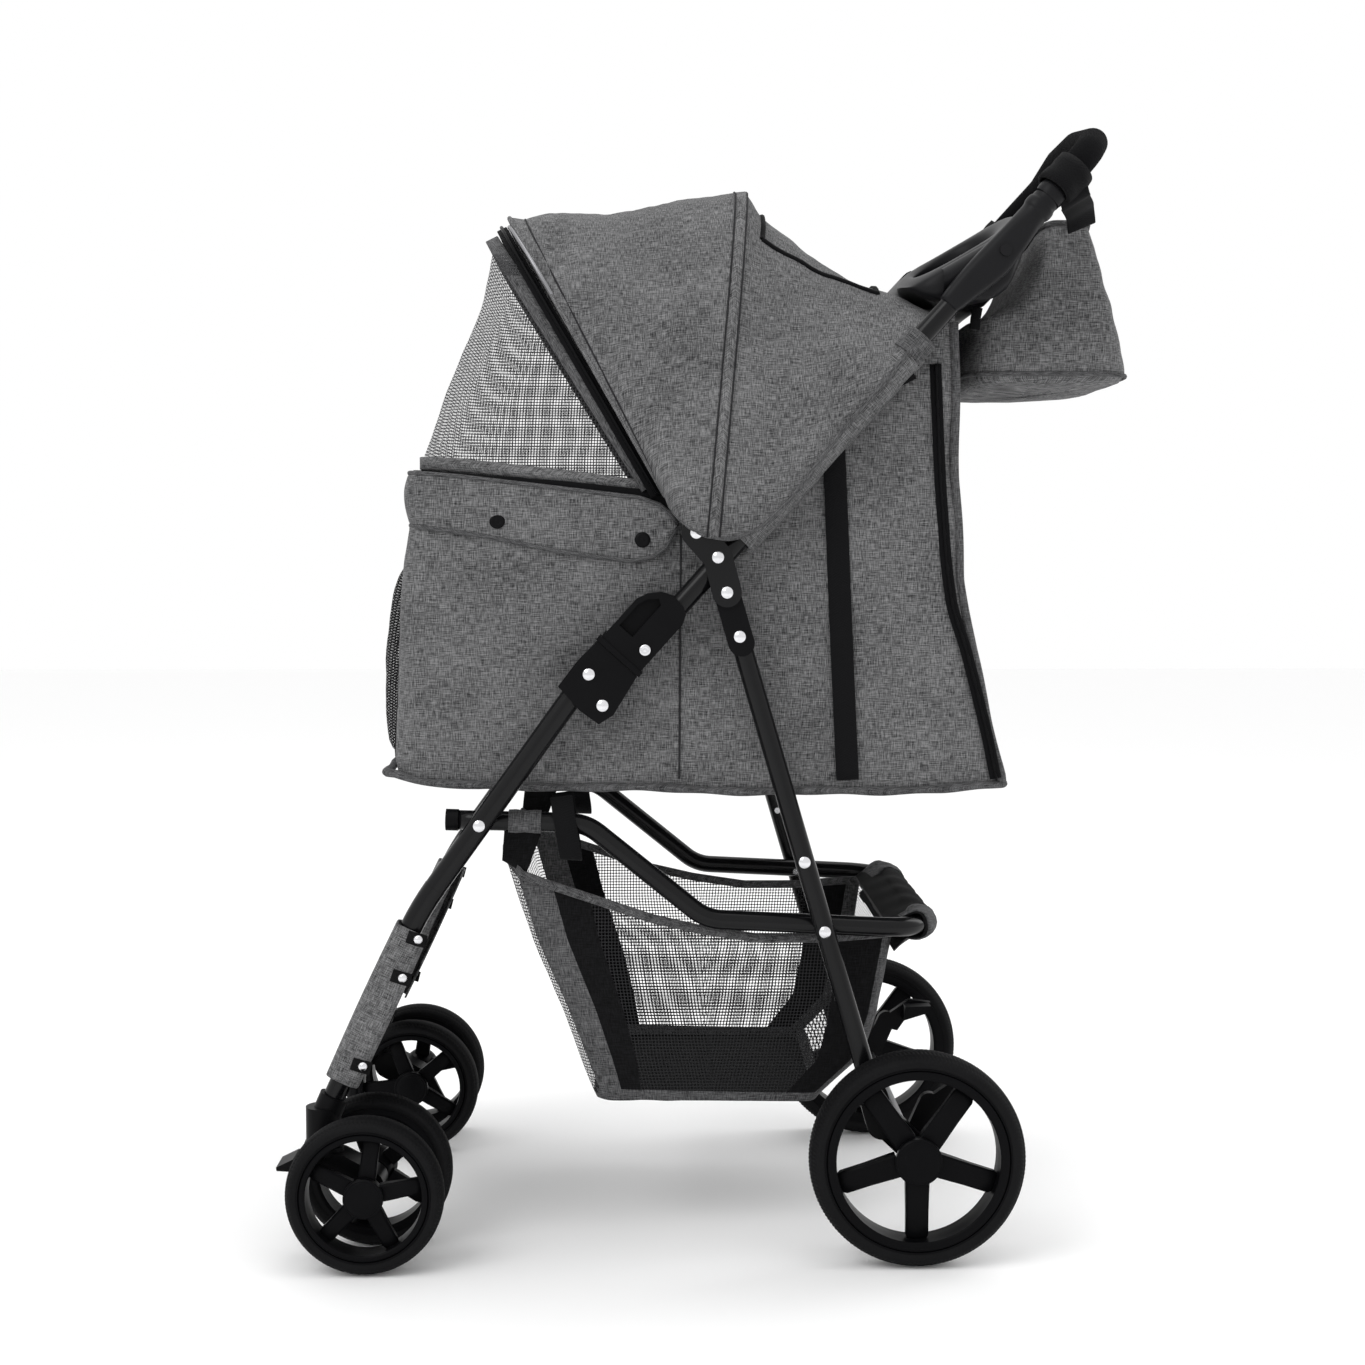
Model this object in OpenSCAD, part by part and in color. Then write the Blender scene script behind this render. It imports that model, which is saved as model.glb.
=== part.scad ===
// Folding four-wheel pet stroller. Millimetres, +Z up, +X to the rear (handle side).
// The origin is under the middle of the stroller, on the floor.

/* [Frame] */
// Front leg tube diameter
leg_d = 19; // [15:0.5:25]
// Rear leg and basket rail tube diameter
rail_d = 17; // [14:0.5:22]
// Handle tube diameter
handle_d = 18; // [14:0.5:22]
// Half the distance between the two leg planes
leg_y = 180.5; // [170:0.5:200]
// Half the distance between the basket rails
rail_y = 162; // [140:0.5:165]
// Slope of the handle tubes above the floor
handle_slope = 48; // [40:1:60]

/* [Wheels] */
// Front wheel radius
front_r = 67; // [50:1:80]
// Front tyre width
front_w = 28; // [20:1:32]
// Half the spacing of the twin front wheels
twin_half = 38; // [34:1:44]
// Rear wheel radius
rear_r = 92.5; // [75:0.5:110]
// Rear tyre width
rear_w = 32; // [24:1:36]
// Number of spokes
spokes = 5; // [3:1:8]

/* [Cabin] */
// Half width of the cabin over its cloth
cabin_y = 157; // [130:1:160]
// Cabin wall thickness with its lining
cabin_wall = 5; // [2:0.5:8]
// Half width of the canopy
canopy_y = 163; // [150:1:168]
// Canopy cloth thickness
canopy_wall = 3.5; // [2:0.5:6]
// corner radius of the canopy hoops
hoop_bend = 78; // [20:1:90]

/* [Handle] */
// Grip foam diameter
grip_d = 26; // [24:1:36]
// Cup recess radius
cup_r = 35; // [30:1:40]
// Half width of the hanging bag
bag_y = 112; // [90:1:140]

/* [Hidden] */
$fn = 64;
gap = 0.3;
rivet_r = 3;
head_r = 5;
fold_pin = [-92.5, 478];
rail_pin = [-197.5, 375.5];
rear_pin = [96.9, 283.5];
bracket_pin = [12.8, 573.4];
collar_rivet = [23.7, 536];
leg_rivet = [79.3, 343.5];
canopy_pin = [-13.2, 623.8];
tube_rivet = [5.1, 603.1];
catch_rivet = [-104, 504.5];
latch_rivet = [-56.5, 525];
handle_foot = [-26, 563.5];
up = [cos(handle_slope), sin(handle_slope)];
back = [sin(handle_slope), -cos(handle_slope)];
rear_axle_at = [174.8, rear_r];
front_axle_at = [-293, front_r];
swivel_x = -333;
swivel_z = 98;
tray_y = 158;

// a point on the handle line: distance up the tube, and distance behind it
function on_handle(along, behind = 0) = handle_foot + up * along + back * behind;
function at(p, y) = [p[0], y, p[1]];
function unit(v) = v / norm(v);

module rod(a, b, r) {
  d = b - a;
  translate(a) rotate([0, acos(d[2] / norm(d)), atan2(d[1], d[0])]) cylinder(h = norm(d), r = r);
}

// one bend of a pipe, from direction u to direction v round the corner p
module elbow(p, u, v, bend_r, r) {
  turn = acos(u * v);
  c = p + unit(v - u) * bend_r / cos(turn / 2);
  x = unit(p - u * bend_r * tan(turn / 2) - c);
  z = cross(x, u);
  multmatrix([[x[0], u[0], z[0], c[0]], [x[1], u[1], z[1], c[1]], [x[2], u[2], z[2], c[2]]])
    rotate_extrude(angle = turn) translate([bend_r, 0]) circle(r);
}

// straight lengths of tube that run a little way into slightly fuller bends
module pipe(pts, bend_r, r) {
  n = len(pts);
  lap = 0.8;
  dirs = [for (i = [0:n - 2]) unit(pts[i + 1] - pts[i])];
  trim = [for (i = [0:n - 1])
    i == 0 || i == n - 1 ? 0 : bend_r * tan(acos(dirs[i - 1] * dirs[i]) / 2) - lap];
  for (i = [0:n - 2]) rod(pts[i] + dirs[i] * trim[i], pts[i + 1] - dirs[i] * trim[i + 1], r);
  for (i = [1:n - 2]) elbow(pts[i], dirs[i - 1], dirs[i], bend_r, r * 1.025);
}

// a disc standing in the side plane, from y0 to y1
module disc(p, r, y0, y1) {
  translate([p[0], y1, p[1]]) rotate([90, 0, 0]) cylinder(h = y1 - y0, r = r);
}

// a side-view outline made solid from y0 to y1
module slab(pts, y0, y1) {
  translate([0, y1, 0]) rotate([90, 0, 0]) linear_extrude(height = y1 - y0) polygon(pts);
}

// a round-ended bar in the side plane
module link(a, b, r, y0, y1) {
  w = unit(b - a);
  s = [-w[1], w[0]] * r;
  disc(a, r, y0, y1);
  disc(b, r, y0, y1);
  slab([a + s, a - s, b - s, b + s], y0, y1);
}

module both_sides() {
  children();
  mirror([0, 1, 0]) children();
}

module left() { children(); }
module right() { mirror([0, 1, 0]) children(); }

// a domed rivet through the side plane, head towards the outside at y_out
module rivet(p, y_out, y_in, r = head_r) {
  disc(p, rivet_r, y_out, y_in);
  intersection() {
    translate([p[0], y_out + r * 0.9, p[1]]) sphere(r = r * 1.5);
    disc(p, r, y_out - 3, y_out);
  }
}

// ---- front frame ----
leg_top = rail_pin + unit([0.5835, 0.812]) * 197.7;
leg_knee = [-250, 302];
leg_foot = [-331.5, 124];

module front_leg() {
  difference() {
    pipe([at(leg_top, -leg_y), at(leg_knee, -leg_y), at(leg_foot, -leg_y)], 250, leg_d / 2);
    rod(at(leg_top + [1, 1.4], -leg_y), at(leg_top - [58, 81], -leg_y), leg_d / 2 - 1.5);
    for (p = [rail_pin, catch_rivet]) disc(p, rivet_r + 0.05, -leg_y - 20, -leg_y + 20);
  }
}

lock_half = 12.5;
lock_outline = [on_handle(-70.2, -32), on_handle(-70.2, 13), on_handle(-92, 17), on_handle(-108, 20),
  on_handle(-122, 16), on_handle(-124, -4), on_handle(-121, -31), on_handle(-96, -33)];

module lock_body() {
  color([0.05, 0.05, 0.05]) difference() {
    slab(lock_outline, -leg_y - lock_half, -leg_y + lock_half);
    // channel that the handle tube swings out of
    slab([on_handle(-60, -9.6), on_handle(-60, 40), on_handle(-134, 40), on_handle(-134, -2),
      on_handle(-100, -4), on_handle(-96, -9.6)], -leg_y - handle_d / 2 - gap, -leg_y + handle_d / 2 + gap);
    rod(at(rail_pin, -leg_y), at(rail_pin + unit([0.5835, 0.812]) * 230, -leg_y), leg_d / 2 + 0.05);
    disc(fold_pin, rivet_r + 0.05, -leg_y - 20, -leg_y + 20);
    disc(catch_rivet, rivet_r + 0.05, -leg_y - 20, -leg_y + 20);
  }
}

module front_apron() {
  top = [-257, 287];
  mid = [-288, 219];
  low = [-317, 155];
  wall = 2.2;
  color([0.5, 0.5, 0.51]) difference() {
    slab([top + [-15, 3], top + [15, -3], mid + [17, -4], low + [17, -4], low + [-13, 3], mid + [-15, 4]],
      -leg_y - 13, leg_y + 13);
    slab([top + [-12.6, 20], top + [30, 20], top + [12.6, -3], mid + [14.6, -4], low + [14.6, -4],
      low + [14, -20], low + [-30, -20], low + [-10.6, 3], mid + [-12.6, 4]], -leg_y - 10.8, leg_y + 10.8);
    // the cloth spans the front only, and wraps each leg
    slab([top + [-8, 30], top + [40, 30], low + [40, -30], low + [-8, -30]], -leg_y + 13, leg_y - 13);
  }
}

module caster_socket() {
  difference() {
    union() {
      translate([swivel_x, -leg_y, swivel_z + 1]) cylinder(h = 34, r = 15);
      rod(at(leg_foot + [1, 2], -leg_y), at(leg_foot + [8, 18], -leg_y), leg_d / 2 + 3);
    }
    rod(at(leg_foot - [0.5, 1.1], -leg_y), at(leg_foot + [46, 100], -leg_y), leg_d / 2 + 0.05);
    translate([swivel_x, -leg_y, swivel_z - 1]) cylinder(h = 18, r = 5.05);
    translate([swivel_x, -leg_y, 1]) cylinder(h = swivel_z, r = 40);
  }
}

module front_rivets() {
  color([0.75, 0.75, 0.77]) both_sides() {
    rivet(rail_pin, -leg_y - leg_d / 2 - 0.1, -rail_y + 12);
    rivet(catch_rivet, -leg_y - lock_half - 0.1, -leg_y + lock_half);
    rivet(fold_pin, -leg_y - lock_half - 0.1, -leg_y + lock_half);
    for (p = [[-249.5, 279], [-263, 246], [-297.5, 170]])
      intersection() {
        disc(p, 4, -leg_y - 16, -leg_y - 13.1);
        translate([p[0], -leg_y - 11, p[1]]) sphere(r = 4.8);
      }
  }
}

// ---- handle ----
tube_start = -84;
tube_end = 378;

module handle_tube() {
  color([0.03, 0.03, 0.03]) difference() {
    union() {
      difference() {
        rod(at(on_handle(tube_start), -leg_y), at(on_handle(tube_end), -leg_y), handle_d / 2);
        rod(at(on_handle(tube_start + 30), -leg_y), at(on_handle(tube_end + 1), -leg_y), handle_d / 2 - 1.5);
      }
      // hinge knuckle on the fold pin
      disc(fold_pin, 9, -leg_y - handle_d / 2, -leg_y + handle_d / 2);
      link(fold_pin, on_handle(tube_start + 6, 1), 6, -leg_y - 6, -leg_y + 6);
    }
    disc(fold_pin, rivet_r + 0.05, -leg_y - 20, -leg_y + 20);
    for (p = [tube_rivet]) disc(p, rivet_r + 0.05, -leg_y - 20, -leg_y + 20);
    disc(on_handle(402, 3.7), 2.6, -leg_y - 20, -leg_y + 20);
  }
}

module bracket() {
  y0 = -leg_y - handle_d / 2 - 3.4;
  y1 = -leg_y - handle_d / 2 - 0.4;
  color([0.04, 0.04, 0.04]) difference() {
    union() {
      link(canopy_pin, tube_rivet, 12.5, y0, y1);
      link(tube_rivet, bracket_pin, 12.5, y0, y1);
    }
    for (p = [canopy_pin, tube_rivet, bracket_pin]) disc(p, rivet_r + 0.05, y0 - 5, y1 + 5);
  }
}

module handle_rivets() {
  out = -leg_y - handle_d / 2 - 3.5;
  color([0.75, 0.75, 0.77]) both_sides() {
    rivet(canopy_pin, out, -canopy_y - 4);
    rivet(tube_rivet, out, -leg_y + handle_d / 2 + 1);
    rivet(bracket_pin, out, -leg_y - handle_d / 2 - 0.3);
  }
}

slider_outline = [on_handle(-69.8, -31), on_handle(-69.8, 12.4), on_handle(-12, 12.4), on_handle(-4, 9),
  on_handle(0, 3), on_handle(1, -10), on_handle(-3, -19), on_handle(-12, -27), on_handle(-22, -31)];

module lock_slider() {
  color([0.05, 0.05, 0.05]) difference() {
    union() {
      slab(slider_outline, -leg_y - 13, -leg_y + 13);
      // raised band at the foot of the slider
      slab([on_handle(-69.8, -33.5), on_handle(-69.8, 14.5), on_handle(-65, 14.5), on_handle(-65, -33.5)],
        -leg_y - 14.5, -leg_y + 13);
    }
    rod(at(on_handle(-80), -leg_y), at(on_handle(20), -leg_y), handle_d / 2 + 0.05);
    // pocket that catches the top of the leg
    slab([on_handle(-75, -10), on_handle(-75, -40), on_handle(-53, -40), on_handle(-53, -10)],
      -leg_y - 10, -leg_y + 10);
    // thumb recess in the outer face
    slab([on_handle(-48, -27), on_handle(-48, -12), on_handle(-12, -12), on_handle(-9, -17),
      on_handle(-16, -24), on_handle(-24, -27)], -leg_y - 15, -leg_y - 5);
  }
}

arm_outline = [on_handle(338, 10.4), on_handle(352, 11), on_handle(368, 14), on_handle(390, 19),
  on_handle(417, 15.5), on_handle(438, 13), on_handle(446, 13.6), on_handle(470, 13.6), on_handle(470, -11.6),
  on_handle(446, -11.6), on_handle(436, -10.8), on_handle(409, -10.8), on_handle(380, -11.8),
  on_handle(352, -12.6), on_handle(338, -10.4)];

module tray_arm() {
  color([0.09, 0.09, 0.09]) difference() {
    slab(arm_outline, -leg_y - 13, -leg_y + 12);
    rod(at(on_handle(330), -leg_y), at(on_handle(tube_end + 1), -leg_y), handle_d / 2 + 0.05);
    rod(at(on_handle(452, 1), -leg_y), at(on_handle(480, 1), -leg_y), 11.05);
    disc(on_handle(402, 3.7), 2.6, -leg_y - 20, -leg_y - 5);
  }
}

tray_outline = [[170, 838], [176, 829], [192, 821.5], [240, 821], [254, 830], [267, 862], [269, 890],
  [261, 900],
  [172, 849]];

module tray() {
  color([0.09, 0.09, 0.09]) difference() {
    slab(tray_outline, -tray_y - 10, tray_y + 10);
    for (s = [-1, 1]) {
      translate([214, s * 112, 829]) cylinder(h = 80, r = cup_r);
      // each end of the rim dips outwards
      translate([213, s * 76, 875]) rotate([-s * 9.8, -30, 0]) translate([-90, s > 0 ? 0 : -150, 0])
        cube([180, 150, 80]);
    }
    translate([186, -66, 829]) cube([56, 132, 90]);
  }
}

module tray_screws() {
  color([0.2, 0.2, 0.2]) both_sides() {
    disc(on_handle(402, 3.7), 2.5, -leg_y - 13, -leg_y - 6);
    disc(on_handle(402, 3.7), 5, -leg_y - 15, -leg_y - 13.1);
  }
}

grip_foot = on_handle(472.5, 1);
grip_half = [at(grip_foot, -leg_y), at([316, 942], -leg_y + 6), at([334, 963], -118), at([335.5, 975], -40)];
grip_bend = 40;

module grip_foam() {
  color([0.08, 0.08, 0.08]) {
    pipe(concat(grip_half, [for (i = [3:-1:0]) [grip_half[i][0], -grip_half[i][1], grip_half[i][2]]]),
      grip_bend, grip_d / 2);
    for (s = [-1, 1]) rod(at(on_handle(454, 1), s * leg_y), at(on_handle(474, 1), s * leg_y), 11);
  }
}

// ---- cabin ----
cabin_outline = [[-256, 672], [-30, 640], [-10, 628], [33, 640], [119, 745], [176, 800], [211, 812],
  [212, 670], [217, 584], [242, 462], [256, 415], [252, 404], [47, 399], [-199, 405], [-262, 411],
  [-285, 421], [-272, 430], [-262, 601]];
cabin_inside = [[-251, 720], [-30, 850], [206.5, 850], [207, 670], [212, 584], [237, 462], [250, 416],
  [247, 409], [47, 404], [-199, 410], [-262, 416], [-267, 430], [-257, 601]];

module cabin_shell() {
  color([0.5, 0.5, 0.51]) difference() {
    slab(cabin_outline, -cabin_y, cabin_y);
    slab(cabin_inside, -cabin_y + cabin_wall, cabin_y - cabin_wall);
    // recess that the canopy hoops turn in
    for (s = [-1, 1]) disc(canopy_pin, 24, s * cabin_y - 3.2, s * cabin_y + 3.2);
  }
}

module cabin_straps() {
  color([0.03, 0.03, 0.03]) both_sides()
    slab([[95.5, 722], [114.5, 722], [117.5, 635], [127.5, 414], [108.5, 414], [98.5, 635]],
      -cabin_y - 1.6, -cabin_y - 0.2);
}

module cabin_zip() {
  half = 4.5;
  color([0.03, 0.03, 0.03]) both_sides()
    slab([[192 - half, 768], [192 + half, 768], [198 + half, 652], [207 + half, 566], [220 + half, 523],
      [238 + half, 454], [246 + half, 412], [246 - half, 412], [238 - half, 454], [220 - half, 523],
      [207 - half, 566], [198 - half, 652]], -cabin_y - 1.9, -cabin_y - 0.2);
}

module front_pocket() {
  color([0.06, 0.06, 0.06]) difference() {
    slab([[-262.6, 600], [-282, 579], [-289, 539], [-292, 503], [-292, 468], [-289, 440], [-272.5, 432]],
      -110, 110);
    slab([[-262.6, 612], [-274, 612], [-279.5, 575], [-286, 538], [-289, 503], [-289, 468],
      [-286.4, 444], [-272.5, 437]],
      -107, 107);
    slab([[-262.6, 650], [-262.6, 600], [-272.5, 432], [-272.5, 400], [-200, 400], [-200, 650]], -120, 120);
  }
}

module front_flap() {
  color([0.5, 0.5, 0.51]) difference() {
    slab([[-265, 677], [-214, 670], [-129, 661], [-61, 653], [-34, 641], [-28, 631], [-34, 616], [-48, 606],
      [-69, 601], [-129, 608], [-197, 622], [-265, 631]], -cabin_y - 3.4, cabin_y + 3.4);
    slab([[-262.4, 700], [0, 700], [0, 590], [-262.4, 590]], -cabin_y - 0.4, cabin_y + 0.4);
  }
}

module flap_snaps() {
  color([0.04, 0.04, 0.04]) both_sides()
    for (p = [[-182.5, 634], [-58.5, 617]])
      intersection() {
        disc(p, 6.5, -cabin_y - 7, -cabin_y - 3.5);
        translate([p[0], -cabin_y + 1, p[1]]) sphere(r = 8);
      }
}

module under_straps() {
  color([0.03, 0.03, 0.03]) both_sides() difference() {
    slab([[-138, 397], [-119, 397], [-111, 345], [-130, 343]], -rail_y - 10.2, -rail_y + 10.2);
    slab([[-150, 398], [-100, 398], [-100, 346.5], [-150, 345]], -rail_y - 8.8, -rail_y + 8.8);
  }
}

// ---- canopy ----
seam_gap = 0.4;
canopy_front_top = [[-196, 886], [-173, 906], [-95, 912], [-8, 919], [28, 925]];
canopy_rear_top = [[30, 925], [44, 903], [79, 879], [122, 849], [140, 841], [190, 812]];

module canopy_front() {
  color([0.5, 0.5, 0.51]) difference() {
    slab(concat(canopy_front_top, [[16, 797], [-1, 628], [-9, 622], [-26, 635], [-38, 655], [-78, 737],
      [-129, 814]]),
      -canopy_y, canopy_y);
    slab([[-230, 875], [-172, 902], [-95, 908], [-8, 915], [40, 921], [40, 600], [-60, 600], [-140, 790]],
      -canopy_y + canopy_wall, canopy_y - canopy_wall);
  }
}

module canopy_rear() {
  color([0.5, 0.5, 0.51]) difference() {
    slab(concat(canopy_rear_top, [[176, 801], [144, 771], [119, 737], [59, 644], [33, 627], [12, 621],
      [0, 625], [17, 797]]), -canopy_y, canopy_y);
    slab([[10, 921], [29, 921], [42, 900], [77, 875], [120, 845], [138, 837], [186, 810], [240, 760],
      [60, 600],
      [-10, 600]], -canopy_y + canopy_wall, canopy_y - canopy_wall);
  }
}

// a U of flat spring wire, from one canopy pin over the roof to the other
module hoop(top, y) {
  foot = canopy_pin + unit(top - canopy_pin) * 16;
  pipe([at(foot, -y), at(top, -y), at(top, y), at(foot, y)], hoop_bend, 1.5);
  for (s = [-1, 1]) difference() {
    link(canopy_pin, foot, 5, s * y - 1, s * y + 1);
    disc(canopy_pin, rivet_r + 0.05, s * y - 5, s * y + 5);
  }
}

// ---- mesh window ----
module mesh_window() {
  color([0.3, 0.3, 0.3, 0.5]) difference() {
    slab([[-188, 866], [-199, 831], [-210, 806], [-234, 748], [-256, 684], [-252, 677], [-44, 650],
      [-42, 662], [-82, 737], [-132, 812], [-180, 868]], -cabin_y + 1.5, cabin_y - 1.5);
    slab([[-183, 864.5], [-196, 831], [-207, 806], [-231, 748], [-253, 684], [-253, 600], [-30, 600],
      [-30, 662], [-100, 780], [-170, 864.5]], -cabin_y + 4, cabin_y - 4);
    slab([[-30, 646], [-80, 735], [-128, 810], [-174, 862], [-100, 862], [0, 700]], -cabin_y, cabin_y);
  }
}

// ---- bag ----
module handle_bag() {
  color([0.5, 0.5, 0.51]) difference() {
    slab([[322, 893], [336, 897], [346, 869], [361, 826], [371.5, 770], [371.5, 757], [352, 750], [312, 745],
      [244, 743], [220, 746], [225, 783], [229, 811], [256, 816], [273, 835], [287, 868], [292, 884]],
      -bag_y, bag_y);
    slab([[325, 910], [333, 898], [343, 868], [358, 826], [368.5, 770], [368.5, 760], [351, 753], [312, 748],
      [244, 746], [224, 749], [228, 783], [231.5, 808.5], [257.5, 813.5], [275.5, 833], [290, 867],
        [296, 905]],
      -bag_y + 3, bag_y - 3);
  }
}

module bag_straps() {
  color([0.03, 0.03, 0.03]) both_sides() difference() {
    union() {
      rod(at(on_handle(475, 1), -leg_y + 0.3), at(on_handle(490, 2), -leg_y + 3), 17);
      slab([[304, 909.5], [321, 915], [323, 911], [306, 905.5]], -leg_y, -bag_y - 0.3);
      slab([[302, 905], [322, 912], [325, 874], [305, 869]], -bag_y - 3, -bag_y - 0.3);
    }
    pipe(grip_half, grip_bend, grip_d / 2 + 0.8);
  }
}

// ---- basket ----
module basket_rail() {
  path = [[-217, 377.3], [-108, 374.5], [-4, 290.5], [188, 281]];
  color([0.03, 0.03, 0.03]) difference() {
    pipe([at(path[0], -rail_y), at(path[1], -rail_y), at(path[2], -rail_y), at(path[3], -rail_y),
      at(path[3], rail_y), at(path[2], rail_y), at(path[1], rail_y), at(path[0], rail_y)], 42, rail_d / 2);
    for (p = [rail_pin, rear_pin]) disc(p, rivet_r + 0.05, -rail_y - 12, rail_y + 12);
    for (s = [-1, 1]) rod(at([-218, 377.3], s * rail_y), at([-206, 377], s * rail_y), 6.05);
  }
}

module rail_plugs() {
  color([0.05, 0.05, 0.05]) both_sides() {
    rod(at([-217, 377.3], -rail_y), at([-207, 377.05], -rail_y), 6);
    rod(at([-228, 377.6], -rail_y), at([-217.2, 377.3], -rail_y), rail_d / 2 + 0.8);
  }
}

basket_y = 148;
module basket() {
  color([0.25, 0.25, 0.25]) difference() {
    union() {
      slab([[-181, 350], [-144, 322], [-96, 305], [-52, 290], [-9, 279], [44, 272], [162, 276], [150, 200],
        [136, 160], [97, 121], [-103, 126], [-131, 208], [-158, 270]], -basket_y, basket_y);
      // hems that wrap the rear cross tube and the front of each rail
      rod([188, -112, 281], [188, 112, 281], rail_d / 2 + 1.8);
      slab([[156, 279], [186, 291], [186, 271], [158, 265]], -112, 112);
      for (s = [-1, 1]) {
        rod([-170, s * rail_y, 376.2], [-148, s * rail_y, 375.5], rail_d / 2 + 1.5);
        slab([[-170, 376], [-148, 376], [-148, 318], [-163, 330]], s * (basket_y - 2) - 1.9,
          s * (basket_y - 2) + 1.9);
        translate([-168, s * 150 - 4, 372]) cube([18, 8, 4]);
      }
    }
    slab([[-176, 360], [-142, 380], [140, 380], [159, 276], [147, 200], [133, 162], [96, 124], [-101, 129],
      [-128, 209], [-155, 271]], -basket_y + 3, basket_y - 3);
    rod([188, -130, 281], [188, 130, 281], rail_d / 2 + 0.2);
    for (s = [-1, 1]) rod([-175, s * rail_y, 376.35], [-143, s * rail_y, 375.35], rail_d / 2 + 0.15);
  }
}

// ---- rear frame ----
leg_line = unit([0.2925, -1]);
rear_foot = collar_rivet + leg_line * 438;

module rear_leg() {
  color([0.03, 0.03, 0.03]) difference() {
    rod(at(collar_rivet - leg_line * 14, -leg_y), at(rear_foot, -leg_y), rail_d / 2);
    rod(at(collar_rivet + leg_line * 8, -leg_y), at(rear_foot + leg_line, -leg_y), rail_d / 2 - 1.5);
    for (p = [collar_rivet, leg_rivet, rear_pin]) disc(p, rivet_r + 0.05, -leg_y - 20, -leg_y + 20);
  }
}

module rear_collar() {
  difference() {
    link(bracket_pin, collar_rivet + leg_line * 6, 11, -leg_y - 9.1, -leg_y + 9.1);
    rod(at(collar_rivet - leg_line * 15, -leg_y), at(rear_foot, -leg_y), rail_d / 2 + 0.05);
    disc(collar_rivet, rivet_r + 0.05, -leg_y - 20, -leg_y + 20);
    disc(bracket_pin, 5, -leg_y - 12, -leg_y - 7);
  }
}

axle_r = 4;
rear_axle_half = 218.4;
module rear_axle() {
  color([0.5, 0.5, 0.5]) {
    rod(at(rear_axle_at, -rear_axle_half), at(rear_axle_at, rear_axle_half), axle_r);
    for (s = [-1, 1]) disc(rear_axle_at, 8, s * (rear_axle_half + 1) - 1, s * (rear_axle_half + 1) + 1);
  }
}

module axle_bracket() {
  foot = rear_foot - leg_line * 26;
  difference() {
    union() {
      link(foot, rear_foot, 12.5, -leg_y - 8.4, -leg_y + 14);
      link(rear_foot + [4, 0], rear_axle_at, 13, -leg_y + 2, -leg_y + 14);
    }
    rod(at(foot - leg_line * 20, -leg_y), at(rear_foot + leg_line * 0.5, -leg_y), rail_d / 2 + 0.05);
    disc(rear_axle_at, axle_r + 0.05, -leg_y - 20, -leg_y + 20);
    disc([178, 137], rivet_r + 0.05, -leg_y - 20, -leg_y + 20);
  }
}

module rear_rivets() {
  color([0.75, 0.75, 0.77]) both_sides() {
    rivet(rear_pin, -leg_y - rail_d / 2 - 0.1, -rail_y + 12);
    rivet(leg_rivet, -leg_y - rail_d / 2 - 0.1, -leg_y + rail_d / 2 + 1);
    rivet(collar_rivet, -leg_y - 9.2, -leg_y + 10);
  }
}

brake_pin = [160, 106];
module brake_lever() {
  y0 = -leg_y + 15;
  y1 = y0 + 8;
  color([0.05, 0.05, 0.05]) difference() {
    union() {
      link(rear_axle_at + [0, 0], rear_axle_at + [16, 36], 9, y0, y1);
      slab([[184, 122], [202, 118], [216, 138], [232, 141], [236, 147], [214, 150], [194, 136]], y0, y1);
      slab([[206, 132], [232, 140], [234, 147], [208, 146]], y0, y0 + 26);
    }
    disc(rear_axle_at, axle_r + 0.05, y0 - 1, y1 + 1);
  }
}

// ---- wheels ----
// tyre, rim and spokes about the Y axis, outer face towards y = -w / 2
module tyre(at_p, y, r, w, depth) {
  color([0.03, 0.03, 0.03]) translate([at_p[0], y, at_p[1]]) rotate([90, 0, 0]) rotate_extrude()
    intersection() {
      translate([r - depth, -w / 2]) square([depth, w]);
      translate([r - w * 0.62, 0]) circle(r = w * 0.62);
    }
}

module wheel(at_p, y, r, w, depth, hub_r, cap_r, bore_r, out) {
  rim_r = r - depth - 0.05;
  open_r = rim_r - r * 0.1;
  spoke_w = r * 0.21;
  color([0.05, 0.05, 0.05]) translate([at_p[0], y, at_p[1]]) rotate([90, 0, 0]) {
    difference() {
      union() {
        difference() {
          cylinder(h = w * 0.8, r = rim_r, center = true);
          cylinder(h = w, r = open_r, center = true);
        }
        cylinder(h = w * 0.9, r = hub_r, center = true);
        for (k = [0:spokes - 1]) rotate(-90 + k * 360 / spokes)
          translate([hub_r - 2, -spoke_w / 2, out * w * 0.18 - w * 0.14]) 
            cube([open_r - hub_r + 4, spoke_w, w * 0.28]);
      }
      cylinder(h = w * 2, r = bore_r + 0.05, center = true);
      translate([0, 0, out * w * 0.45]) cylinder(h = 5, r = 9, center = true);
    }
    translate([0, 0, out * (w * 0.45 + 1.6)]) difference() {
      cylinder(h = 3, r = cap_r, center = true);
      translate([0, 0, -out * 1.4]) cylinder(h = 2.2, r = 10, center = true);
    }
  }
}

rear_y = 205.5;
module rear_tyre() { tyre(rear_axle_at, -rear_y, rear_r, rear_w, 13); }
module rear_wheel() { wheel(rear_axle_at, -rear_y, rear_r, rear_w, 13, 17, 20, axle_r, 1); }
module front_tyre(y) { tyre(front_axle_at, y, front_r, front_w, 11); }
module front_wheel(y, out) { wheel(front_axle_at, y, front_r, front_w, 11, 14, 17, axle_r, out); }

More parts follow.
